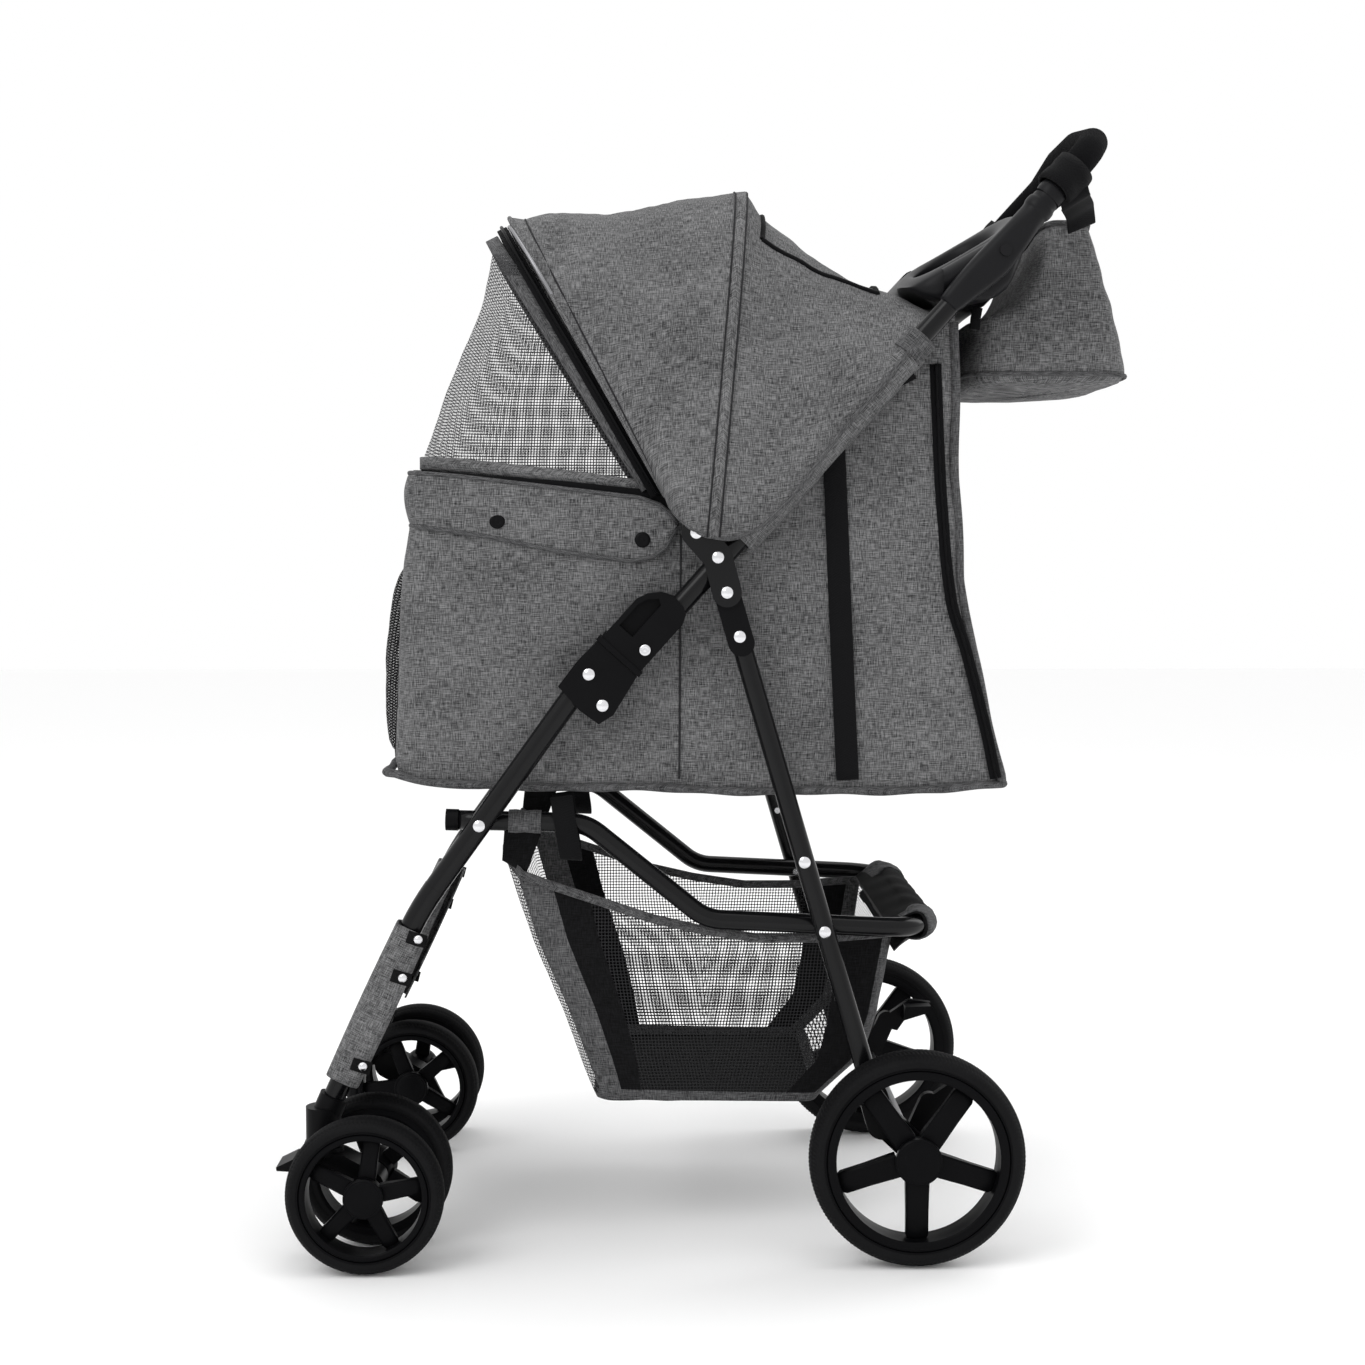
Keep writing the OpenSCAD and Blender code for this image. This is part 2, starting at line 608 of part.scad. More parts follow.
module caster_fork() {
  half = 21;
  color([0.05, 0.05, 0.05]) {
    difference() {
      union() {
        translate([swivel_x, -leg_y, swivel_z - 6]) cylinder(h = 6.4, r = 17);
        translate([swivel_x, -leg_y, swivel_z]) cylinder(h = 15, r = 5);
        link(front_axle_at, [swivel_x + 12, swivel_z - 16], 13, -leg_y - half + 6, -leg_y + half - 6);
        translate([swivel_x - 12, -leg_y - 12, swivel_z - 16]) cube([26, 24, 12]);
      }
      disc(front_axle_at, axle_r + 0.05, -leg_y - 40, -leg_y + 40);
      disc([-341, 86], 2.6, -leg_y - 40, -leg_y + 40);
    }
    rod(at(front_axle_at, -leg_y - twin_half - front_w * 0.45 - 1),
      at(front_axle_at, -leg_y + twin_half + front_w * 0.45 + 1),
      axle_r);
  }
}

// toe tab that stops the swivel
module caster_lock() {
  color([0.05, 0.05, 0.05]) {
    disc([-341, 86], 2.5, -leg_y - 15, -leg_y + 15);
    for (s = [-1, 1]) link([-341, 86], [-352, 86], 4, -leg_y + s * 14.5 - 2, -leg_y + s * 14.5 + 2);
    slab([[-371, 81], [-371.5, 84], [-357, 91], [-352.5, 88.4], [-347.5, 88.4], [-347.5, 82],
      [-356, 80]], -leg_y - 16.5, -leg_y + 16.5);
  }
}

left() color([0.03, 0.03, 0.03]) front_leg();  // front_leg_left
right() color([0.03, 0.03, 0.03]) front_leg();  // front_leg_right
left() lock_body();  // lock_body_left
right() lock_body();  // lock_body_right
front_apron();
color([0.05, 0.05, 0.05]) both_sides() caster_socket();  // caster_sockets
front_rivets();
left() handle_tube();  // handle_tube_left
right() handle_tube();  // handle_tube_right
left() bracket();  // bracket_left
right() bracket();  // bracket_right
handle_rivets();
tray();
left() tray_arm();  // tray_arm_left
right() tray_arm();  // tray_arm_right
tray_screws();
grip_foam();
left() lock_slider();  // lock_slider_left
right() lock_slider();  // lock_slider_right
cabin_shell();
cabin_straps();
cabin_zip();
front_pocket();
front_flap();
flap_snaps();
under_straps();
canopy_rear();
canopy_front();
color([0.4, 0.4, 0.4]) hoop([28, 912], 155.4);  // canopy_mid_hoop
color([0.4, 0.4, 0.4]) hoop([-176, 894], 157.95);  // canopy_front_hoop
mesh_window();
handle_bag();
bag_straps();
basket_rail();
rail_plugs();
basket();
left() rear_leg();  // rear_leg_left
right() rear_leg();  // rear_leg_right
color([0.05, 0.05, 0.05]) both_sides() rear_collar();  // rear_collars
rear_axle();
color([0.05, 0.05, 0.05]) both_sides() axle_bracket();  // axle_brackets
rear_rivets();
left() brake_lever();  // brake_lever_left
right() brake_lever();  // brake_lever_right
left() caster_fork();  // caster_fork_left
right() caster_fork();  // caster_fork_right
left() caster_lock();  // caster_lock_left
right() caster_lock();  // caster_lock_right
left() rear_tyre();  // tyre_rear_left
left() rear_wheel();  // wheel_rear_left
right() rear_tyre();  // tyre_rear_right
right() rear_wheel();  // wheel_rear_right
left() front_tyre(-leg_y - twin_half);  // tyre_outer_left
left() front_wheel(-leg_y - twin_half, 1);  // wheel_outer_left
left() front_tyre(-leg_y + twin_half);  // tyre_inner_left
left() front_wheel(-leg_y + twin_half, -1);  // wheel_inner_left
right() front_tyre(-leg_y - twin_half);  // tyre_outer_right
right() front_wheel(-leg_y - twin_half, 1);  // wheel_outer_right
right() front_tyre(-leg_y + twin_half);  // tyre_inner_right
right() front_wheel(-leg_y + twin_half, -1);  // wheel_inner_right
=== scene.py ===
import math

import bpy
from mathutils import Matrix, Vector, noise


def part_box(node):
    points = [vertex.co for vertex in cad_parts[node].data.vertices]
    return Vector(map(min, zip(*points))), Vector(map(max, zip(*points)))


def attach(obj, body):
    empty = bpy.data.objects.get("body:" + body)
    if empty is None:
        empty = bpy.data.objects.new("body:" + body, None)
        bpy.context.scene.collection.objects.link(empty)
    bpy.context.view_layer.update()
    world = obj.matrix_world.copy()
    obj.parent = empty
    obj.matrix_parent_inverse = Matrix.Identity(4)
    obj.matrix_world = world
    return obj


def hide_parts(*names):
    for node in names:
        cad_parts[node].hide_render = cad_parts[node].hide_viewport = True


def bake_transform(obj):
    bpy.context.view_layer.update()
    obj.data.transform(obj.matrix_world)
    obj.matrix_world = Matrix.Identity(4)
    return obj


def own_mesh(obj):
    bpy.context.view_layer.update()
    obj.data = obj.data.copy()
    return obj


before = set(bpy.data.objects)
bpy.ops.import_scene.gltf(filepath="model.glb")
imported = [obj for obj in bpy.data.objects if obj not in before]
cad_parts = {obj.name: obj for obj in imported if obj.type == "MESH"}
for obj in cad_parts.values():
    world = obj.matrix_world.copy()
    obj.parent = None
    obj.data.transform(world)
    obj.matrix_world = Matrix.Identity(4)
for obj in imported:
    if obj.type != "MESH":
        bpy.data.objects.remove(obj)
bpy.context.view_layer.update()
MM = 0.001
SIDES = ((-1, "left"), (1, "right"))
LEG_Y = 180.5
SLOPE = math.radians(48)
HANDLE_FOOT = (-26, 563.5)


# ---------- small geometry kit, in millimetres ----------
def V(x, y, z):
    return Vector((x, y, z))


def on_handle(along, behind=0.0):
    c, s = math.cos(SLOPE), math.sin(SLOPE)
    return HANDLE_FOOT[0] + c * along + s * behind, HANDLE_FOOT[1] + s * along - c * behind


def lerp(a, b, t):
    return a + (b - a) * t


def table(points, x):
    """Value at x of a line through (x, value) points."""
    if x <= points[0][0]:
        return points[0][1]
    for (x0, y0), (x1, y1) in zip(points, points[1:]):
        if x <= x1:
            return lerp(y0, y1, (x - x0) / (x1 - x0))
    return points[-1][1]


def curve(points, t):
    """Smooth curve through (t, x, z) points."""
    n = len(points)
    for i in range(n - 1):
        if t <= points[i + 1][0] or i == n - 2:
            break
    a, b = points[i], points[i + 1]
    p, q = points[max(i - 1, 0)], points[min(i + 2, n - 1)]
    h = b[0] - a[0]
    u = min(max((t - a[0]) / h, 0), 1)
    out = []
    for k in range(1, len(a)):
        m0 = (b[k] - p[k]) / (b[0] - p[0]) * h if b[0] > p[0] else 0
        m1 = (q[k] - a[k]) / (q[0] - a[0]) * h if q[0] > a[0] else 0
        u2, u3 = u * u, u * u * u
        out.append((2 * u3 - 3 * u2 + 1) * a[k] + (u3 - 2 * u2 + u) * m0
                   + (3 * u2 - 2 * u3) * b[k] + (u3 - u2) * m1)
    return out


def fbm(x, y, z, scale, seed=0.0):
    p = Vector((x, y, z)) / scale + Vector((seed * 7.3, seed * 3.1, seed * 5.7))
    return noise.noise(p) + 0.5 * noise.noise(p * 2.1)


def make(name, verts, faces, mats, uvs=None, face_mat=None):
    me = bpy.data.meshes.new(name)
    me.from_pydata([Vector(v) * MM for v in verts], [], faces)
    if uvs:
        layer = me.uv_layers.new(name="UVMap")
        for loop in me.loops:
            layer.data[loop.index].uv = uvs[loop.vertex_index]
    for m in mats if isinstance(mats, (list, tuple)) else [mats]:
        me.materials.append(m)
    for k, poly in enumerate(me.polygons):
        poly.use_smooth = True
        if face_mat:
            poly.material_index = face_mat[k]
    ob = bpy.data.objects.new(name, me)
    bpy.context.collection.objects.link(ob)
    return ob


def grid(name, rows, mats, wrap=False, face_mat=None, thick=0.0, side=0.0, uv=None):
    """Sheet through rows of points. Its UVs are lengths in metres."""
    n, m = len(rows), len(rows[0])
    verts = [p for row in rows for p in row]
    uvs = []
    down = [0.0] * m
    for i, row in enumerate(rows):
        run = [0.0]
        for a, b in zip(row, row[1:]):
            run.append(run[-1] + (Vector(b) - Vector(a)).length)
        if i:
            down = [d + (Vector(row[j]) - Vector(rows[i - 1][j])).length for j, d in enumerate(down)]
        middle = run[-1] / 2
        uvs += [((r - middle) * MM, d * MM) for r, d in zip(run, down)]
    if uv:
        uvs = [tuple(c * MM for c in uv(p)) for p in verts]
    faces, picks = [], []
    for i in range(n - 1):
        for j in range(m if wrap else m - 1):
            k = (j + 1) % m
            faces.append((i * m + j, i * m + k, (i + 1) * m + k, (i + 1) * m + j))
            if face_mat:
                picks.append(face_mat(i, j))
    ob = make(name, verts, faces, mats, uvs, picks or None)
    if thick:
        mod = ob.modifiers.new("thick", "SOLIDIFY")
        mod.thickness = thick * MM
        mod.offset = side
    return ob


def declare(ob, rows, held, *rests_on):
    """Measures a sheet by the cut it was sewn from: its rows laid out flat give a width, length and area, which are not
    kept.
    """
    def run(line):
        return sum((b - a).length for a, b in zip(line, line[1:])) * MM
    cols = list(zip(*rows))
    width, length = max(map(run, rows)), max(map(run, cols))
    area = sum((b[j] - a[j]).cross(a[j + 1] - a[j]).length for a, b in zip(rows,
            rows[1:]) for j in range(len(a) - 1)) * MM * MM
    area = min(max(area, 0.31 * width * length), width * length)


def frames(path):
    """Directions along a path, with a cross direction carried along it."""
    out, side = [], None
    for i, p in enumerate(path):
        a, b = path[max(i - 1, 0)], path[min(i + 1, len(path) - 1)]
        d = (b - a).normalized()
        if side is None:
            side = Vector((0, 1, 0)) if abs(d.y) < 0.9 else Vector((0, 0, 1))
        side = (side - d * side.dot(d)).normalized()
        out.append((p, d, side, d.cross(side)))
    return out


def tube(name, path, radius, mat, sides=20, flat=1.0, caps=True):
    rows = []
    steps = frames(path)
    for i, (p, d, a, b) in enumerate(steps):
        r = radius(i / (len(steps) - 1)) if callable(radius) else radius
        rows.append([p + a * math.cos(t) * r * flat + b * math.sin(t) * r
                     for t in [2 * math.pi * k / sides for k in range(sides)]])
    if caps:
        first, last = steps[0], steps[-1]
        rows = [[first[0]] * sides, [lerp(first[0], v, 0.8) for v in rows[0]]] + rows
        rows += [[lerp(last[0], v, 0.8) for v in rows[-1]], [last[0]] * sides]
    return grid(name, rows, mat, wrap=True)


def band(name, path, across, width, thick, mat, edge=0.35):
    """Flat strap along a path. across is the width direction at each point."""
    rows = []
    for i, p in enumerate(path):
        a = across(i / (len(path) - 1)) if callable(across) else across
        q0, q1 = path[max(i - 1, 0)], path[min(i + 1, len(path) - 1)]
        d = (q1 - q0).normalized()
        a = (a - d * a.dot(d)).normalized()
        up = d.cross(a)
        w, t = width / 2, thick / 2
        rows.append([p + a * x * w + up * y * t for x, y in
                     ((-1, edge), (-1 + 0.08, 1), (0, 1), (1 - 0.08, 1), (1, edge),
                      (1, -edge), (1 - 0.08, -1), (0, -1), (-1 + 0.08, -1), (-1, -edge))])
    rows = [[path[0]] * 10] + rows + [[path[-1]] * 10]
    return grid(name, rows, mat, wrap=True)


def bends(points, radius, step=6.0):
    """Points along straight lengths joined by round bends."""
    pts = [Vector(p) for p in points]
    out = [pts[0]]
    for a, b, c in zip(pts, pts[1:], pts[2:]):
        u, v = (b - a).normalized(), (c - b).normalized()
        turn = u.angle(v)
        cut = radius * math.tan(turn / 2)
        centre = b + (v - u).normalized() * radius / math.cos(turn / 2)
        x = (b - u * cut - centre).normalized()
        n = max(2, int(math.degrees(turn) / step))
        out += [centre + radius * (x * math.cos(turn * k / n) + u * math.sin(turn * k / n))
                for k in range(n + 1)]
    out.append(pts[-1])
    full = [out[0]]
    for a, b in zip(out, out[1:]):
        n = max(1, int((b - a).length / 12))
        full += [lerp(a, b, k / n) for k in range(1, n + 1)]
    return full


def lathe(name, profile, centre, mats, turns=96, shape=None, out=-1):
    """Turned piece about an axis along Y. profile holds (radius, outward) pairs."""
    rows = []
    for r, h in profile:
        row = []
        for k in range(turns):
            a = 2 * math.pi * k / turns
            dr = shape(a, r, h) if shape else 0.0
            row.append(V(centre[0] + (r + dr) * math.cos(a), centre[1] + out * h, centre[2] + (r + dr) * math.sin(a)))
        rows.append(row)
    return grid(name, rows, mats, wrap=True)


def joined(name, parts):
    bpy.ops.object.select_all(action="DESELECT")
    for p in parts:
        p.select_set(True)
    bpy.context.view_layer.objects.active = parts[0]
    bpy.ops.object.join()
    ob = bpy.context.view_layer.objects.active
    ob.name = name
    return ob


def outward(ob):
    """Turns the faces of a closed piece outwards."""
    bpy.ops.object.select_all(action="DESELECT")
    ob.select_set(True)
    bpy.context.view_layer.objects.active = ob
    bpy.ops.object.mode_set(mode="EDIT")
    bpy.ops.mesh.select_all(action="SELECT")
    bpy.ops.mesh.remove_doubles(threshold=1e-6)
    bpy.ops.mesh.normals_make_consistent(inside=False)
    bpy.ops.object.mode_set(mode="OBJECT")
    return ob


def box_uv(mid, half):
    """Straight threads on an upright tub: lengths round it and up it."""
    return lambda p: (p[0] + math.copysign(max(half - abs(p[1]), 0), p[0] - mid), p[2])


def roof_uv(p):
    """Straight threads over a roof: lengths along it and across it."""
    return p[0], p[2] - abs(p[1])


# ---------- materials ----------
class Nodes:
    def __init__(self, name):
        self.mat = bpy.data.materials.new(name)
        self.mat.use_nodes = True
        self.tree = self.mat.node_tree
        self.bsdf = next(n for n in self.tree.nodes if n.type == "BSDF_PRINCIPLED")

    def add(self, kind, **values):
        node = self.tree.nodes.new(kind)
        for key, value in values.items():
            if hasattr(node, key):
                setattr(node, key, value)
            else:
                node.inputs[key.replace("_", " ")].default_value = value
        return node

    def link(self, a, out, b, inp):
        self.tree.links.new(a.outputs[out], b.inputs[inp])
        return b

    def noise(self, coords, out, scale, stretch=(1, 1, 1), detail=3.0, rough=0.6, dist=0.0):
        m = self.add("ShaderNodeMapping")
        m.inputs["Scale"].default_value = stretch
        self.link(coords, out, m, "Vector")
        n = self.add("ShaderNodeTexNoise")
        n.inputs["Scale"].default_value = scale
        n.inputs["Detail"].default_value = detail
        n.inputs["Roughness"].default_value = rough
        n.inputs["Distortion"].default_value = dist
        self.link(m, "Vector", n, "Vector")
        return n

    def math(self, op, a, b=None, c=None):
        n = self.add("ShaderNodeMath", operation=op)
        for k, v in enumerate((a, b, c)):
            if v is None:
                continue
            if isinstance(v, (int, float)):
                n.inputs[k].default_value = v
            else:
                self.tree.links.new(v, n.inputs[k])
        return n.outputs[0]

    def ramp(self, value, stops):
        r = self.add("ShaderNodeValToRGB")
        while len(r.color_ramp.elements) < len(stops):
            r.color_ramp.elements.new(0.5)
        for e, (pos, col) in zip(r.color_ramp.elements, stops):
            e.position = pos
            e.color = (*col, 1) if hasattr(col, "__len__") else (col, col, col, 1)
        self.tree.links.new(value, r.inputs[0])
        return r.outputs[0]

    def bump(self, height, strength, distance):
        b = self.add("ShaderNodeBump")
        b.inputs["Strength"].default_value = strength
        b.inputs["Distance"].default_value = distance
        self.tree.links.new(height, b.inputs["Height"])
        self.tree.links.new(b.outputs[0], self.bsdf.inputs["Normal"])

    def set(self, **values):
        for key, value in values.items():
            self.bsdf.inputs[key.replace("_", " ")].default_value = value


def cloth(name, dark, light, sheen=0.06):
    """Heathered plain weave: slubs along both threads, over a fine weave."""
    k = Nodes(name)
    uv = k.add("ShaderNodeTexCoord")
    warp = k.noise(uv, "UV", 1.0, (1500, 110, 1), 2.0, 0.7)
    weft = k.noise(uv, "UV", 1.0, (90, 1500, 1), 2.0, 0.7)
    broad = k.noise(uv, "UV", 1.0, (14, 14, 1), 3.0, 0.6)
    both = k.math("ADD", k.math("MULTIPLY", warp.outputs[0], 0.5), k.math("MULTIPLY", weft.outputs[0], 0.5))
    both = k.math("ADD", both, k.math("MULTIPLY", k.math("SUBTRACT", broad.outputs[0], 0.5), 0.12))
    col = k.ramp(both, [(0.39, dark), (0.5, tuple(lerp(a, b, 0.42) for a, b in zip(dark, light))), (0.61, light)])
    k.tree.links.new(col, k.bsdf.inputs["Base Color"])
    sep = k.add("ShaderNodeSeparateXYZ")
    k.link(uv, "UV", sep, "Vector")
    sx = k.math("SINE", k.math("MULTIPLY", sep.outputs[0], 5200))
    sy = k.math("SINE", k.math("MULTIPLY", sep.outputs[1], 5200))
    weave = k.math("ADD", k.math("MULTIPLY", k.math("MULTIPLY", sx, sy), 0.35), both)
    k.bump(weave, 0.35, 0.0006)
    k.set(Roughness=0.9, Sheen_Weight=sheen, Sheen_Roughness=0.5, Specular_IOR_Level=0.08)
    return k.mat


def webbing(name, col, pitch=1400.0):
    k = Nodes(name)
    uv = k.add("ShaderNodeTexCoord")
    sep = k.add("ShaderNodeSeparateXYZ")
    k.link(uv, "UV", sep, "Vector")
    ribs = k.math("SINE", k.math("MULTIPLY", sep.outputs[1], pitch * 2))
    cross = k.math("SINE", k.math("MULTIPLY", sep.outputs[0], pitch * 3))
    fuzz = k.noise(uv, "UV", 1.0, (900, 900, 1), 2.0, 0.6)
    mix = k.math("ADD", k.math("MULTIPLY", k.math("MULTIPLY", ribs, cross), 0.5), fuzz.outputs[0])
    c = k.ramp(k.math("MULTIPLY", k.math("ADD", mix, 0.6), 0.5),
               [(0.25, tuple(x * 0.55 for x in col)), (0.8, tuple(min(1, x * 1.7) for x in col))])
    k.tree.links.new(c, k.bsdf.inputs["Base Color"])
    k.bump(mix, 0.5, 0.0006)
    k.set(Roughness=0.8, Sheen_Weight=0.02, Specular_IOR_Level=0.1)
    return k.mat


def net(name, col, pitch_mm, hole, grain=0.0):
    """Open net: holes between the threads let the light through."""
    k = Nodes(name)
    uv = k.add("ShaderNodeTexCoord")
    sep = k.add("ShaderNodeSeparateXYZ")
    k.link(uv, "UV", sep, "Vector")
    f = 2 * math.pi / (pitch_mm * MM)
    wob = k.noise(uv, "UV", 1.0, (25, 25, 1), 2.0, 0.5)
    ax = k.math("ADD", k.math("MULTIPLY", sep.outputs[0], f), k.math("MULTIPLY", wob.outputs[0], 0.9))
    ay = k.math("ADD", k.math("MULTIPLY", sep.outputs[1], f), k.math("MULTIPLY", wob.outputs[0], 0.9))
    cx = k.math("MULTIPLY", k.math("ADD", k.math("COSINE", ax), 1.0), 0.5)
    cy = k.math("MULTIPLY", k.math("ADD", k.math("COSINE", ay), 1.0), 0.5)
    open_ = k.math("MULTIPLY", cx, cy)
    alpha = k.math("LESS_THAN", open_, hole)
    k.tree.links.new(alpha, k.bsdf.inputs["Alpha"])
    fuzz = k.noise(uv, "UV", 1.0, (1200, 1200, 1), 2.0, 0.6)
    c = k.ramp(fuzz.outputs[0], [(0.3, tuple(x * 0.6 for x in col)), (0.7, tuple(min(1, x * 1.5) for x in col))])
    k.tree.links.new(c, k.bsdf.inputs["Base Color"])
    k.bump(open_, 0.4, 0.0004)
    k.set(Roughness=0.8, Specular_IOR_Level=0.05)
    return k.mat


def hard(name, col, rough, metal=0.0, grain=400.0, bump=0.12, depth=0.0002, vary=0.25, shine=0.07, wear=0.0):
    """Paint, plastic, rubber or steel, with grain, patchy gloss and light wear."""
    k = Nodes(name)
    at = k.add("ShaderNodeTexCoord")
    fine = k.noise(at, "Object", grain, detail=3.0)
    patch = k.noise(at, "Object", 18.0, detail=4.0)
    tone = k.math("ADD", k.math("MULTIPLY", fine.outputs[0], 0.4), k.math("MULTIPLY", patch.outputs[0], 0.6))
    c = k.ramp(tone, [(0.3, tuple(x * (1 - vary) for x in col)), (0.7, tuple(min(1, x * (1 + vary)) for x in col))])
    k.tree.links.new(c, k.bsdf.inputs["Base Color"])
    r = k.math("ADD", rough - 0.06, k.math("MULTIPLY", patch.outputs[0], 0.12 + wear))
    k.tree.links.new(r, k.bsdf.inputs["Roughness"])
    k.bump(fine.outputs[0], bump, depth)
    k.set(Metallic=metal, Specular_IOR_Level=shine)
    return k.mat


GREY = cloth("heather_cloth", (0.020, 0.020, 0.021), (0.230, 0.230, 0.233))
TRIM = cloth("trim_cloth", (0.016, 0.016, 0.017), (0.15, 0.15, 0.153))
# painted shade: near-black cloth for thin lines drawn along seams, standing in for the shade in the seam grooves
SEAM_SHADE = cloth("seam_shade_cloth", (0.008, 0.008, 0.009), (0.04, 0.04, 0.042))
BLACK_CLOTH = cloth("black_cloth", (0.002, 0.002, 0.002), (0.010, 0.010, 0.011), 0.03)
WEB = webbing("black_webbing", (0.0035, 0.0035, 0.004))
ZIP = webbing("zip_tape", (0.0025, 0.0025, 0.003), 2200.0)
NET = net("window_net", (0.05, 0.05, 0.052), 2.7, 0.10)
BASKET_NET = net("basket_net", (0.02, 0.02, 0.021), 2.9, 0.12)
POCKET_NET = net("pocket_net", (0.006, 0.006, 0.0065), 2.6, 0.42)
TUBE = hard("black_tube", (0.0035, 0.0035, 0.004), 0.20, grain=260, bump=0.04, shine=0.2)
PLASTIC = hard("black_plastic", (0.004, 0.004, 0.0045), 0.40, grain=900, bump=0.15, shine=0.06)
WHEEL = hard("wheel_plastic", (0.003, 0.003, 0.0035), 0.38, grain=900, bump=0.10, shine=0.05)
GREY_PLASTIC = hard("grey_plastic", (0.008, 0.008, 0.009), 0.40, grain=1100, bump=0.25, shine=0.12)
STEEL = hard("rivet_steel", (0.72, 0.72, 0.74), 0.22, 1.0, grain=700, bump=0.05, vary=0.08, shine=0.5)
AXLE = hard("axle_steel", (0.25, 0.25, 0.26), 0.35, 1.0, grain=700, bump=0.08, vary=0.1)
RUBBER = hard("tyre_rubber", (0.006, 0.006, 0.0065), 0.66, grain=600, bump=0.3, vary=0.35, shine=0.08)
FOAM = hard("grip_foam", (0.005, 0.005, 0.0055), 0.9, grain=520, bump=0.7, depth=0.0006, vary=0.4, shine=0.03)

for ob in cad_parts.values():
    n = ob.name
    pick = PLASTIC
    if n.startswith(("front_leg", "handle_tube", "rear_leg", "basket_rail", "bracket")):
        pick = TUBE
    elif "rivets" in n:
        pick = STEEL
    elif n == "rear_axle" or "hoop" in n:
        pick = AXLE
    elif n.startswith("tray"):
        pick = GREY_PLASTIC
    for s in ob.material_slots:
        s.material = pick
    if n.startswith(("lock_", "caster_", "axle_brackets", "brake_", "rear_collars", "bracket", "tray_screws")):
        bev = ob.modifiers.new("edge", "BEVEL")
        bev.width = 0.9 * MM
        bev.segments = 2
        bev.limit_method = "ANGLE"
        bev.angle_limit = math.radians(50)
        bev.harden_normals = False


# ---------- camera, floor and light ----------
camera = bpy.data.objects.new("camera", bpy.data.cameras.new("camera"))
bpy.context.collection.objects.link(camera)
camera.data.lens = 54.9
camera.data.sensor_width = 36
camera.location = (-0.0575, -1.948, 0.606)
YAW, DOWN = 0.0186, 0.0617
aim = Vector((math.sin(YAW) * math.cos(DOWN), math.cos(YAW) * math.cos(DOWN), -math.sin(DOWN)))
camera.rotation_mode = "QUATERNION"
camera.rotation_quaternion = aim.to_track_quat("-Z", "Y")
bpy.context.scene.camera = camera

floor_mat = bpy.data.materials.new("floor_white")
floor_mat.use_nodes = True
floor_mat.node_tree.nodes["Principled BSDF"].inputs["Base Color"].default_value = (0.97, 0.97, 0.97, 1)
floor_mat.node_tree.nodes["Principled BSDF"].inputs["Roughness"].default_value = 0.8
floor = make("floor", [(-9000, -9000, -0.5), (9000, -9000, -0.5), (9000, 9000, -0.5), (-9000, 9000, -0.5)],
             [(0, 1, 2, 3)], floor_mat)
world = bpy.data.worlds.new("studio")
bpy.context.scene.world = world
world.use_nodes = True
world.node_tree.nodes["Background"].inputs["Color"].default_value = (1, 1, 1, 1)
world.node_tree.nodes["Background"].inputs["Strength"].default_value = 1.0
bpy.context.scene.view_settings.view_transform = "Standard"


def lamp(name, at, look, size, power):
    data = bpy.data.lights.new(name, "AREA")
    data.shape = "RECTANGLE"
    data.size, data.size_y = size
    data.energy = power
    ob = bpy.data.objects.new(name, data)
    ob.location = at
    ob.rotation_mode = "QUATERNION"
    ob.rotation_quaternion = (Vector(look) - Vector(at)).to_track_quat("-Z", "Y")
    bpy.context.collection.objects.link(ob)


lamp("key", (-1.6, -1.8, 2.6), (0, 0, 0.5), (1.6, 1.6), 26)
lamp("top", (0.3, 0.2, 3.0), (0, 0, 0.6), (2.2, 2.2), 16)
lamp("rim", (2.2, 0.8, 1.6), (0, 0, 0.5), (0.8, 1.8), 12)


# ---------- wheels ----------
def tyre(name, centre, radius, width, depth, body, node):
    teeth = int(radius * 2 * math.pi / 3.6)
    turns = teeth * 4
    half = width / 2
    prof = []
    for k in range(25):
        a = math.pi * k / 24
        h = math.cos(a) * half
        bulge = (max(0.0, 1 - abs(h / half) ** 2.6)) ** 0.55
        prof.append((radius - depth * 0.62 * (1 - bulge) - 0.05, h))
    prof = [(radius - depth, half * 0.86)] + prof + [(radius - depth, -half * 0.86), (radius - depth, half * 0.86)]

    def tread(a, r, h):
        u = abs(h) / half
        if r < radius - depth * 0.45 or u > 0.93:
            return 0.0
        zig = 0.5 * math.sin(h * 1.1)
        wave = math.sin(a * teeth + zig * 4 + (math.pi if 0.33 < u < 0.66 else 0))
        groove = -0.9 if abs(u - 0.33) < 0.05 or abs(u - 0.68) < 0.05 else 0.0
        return min(0.0, groove + (-0.8 if wave < -0.35 else 0.0))
    ob = lathe(name, prof, centre, RUBBER, turns, tread)
    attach(ob, body)
    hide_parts(node)
    return ob


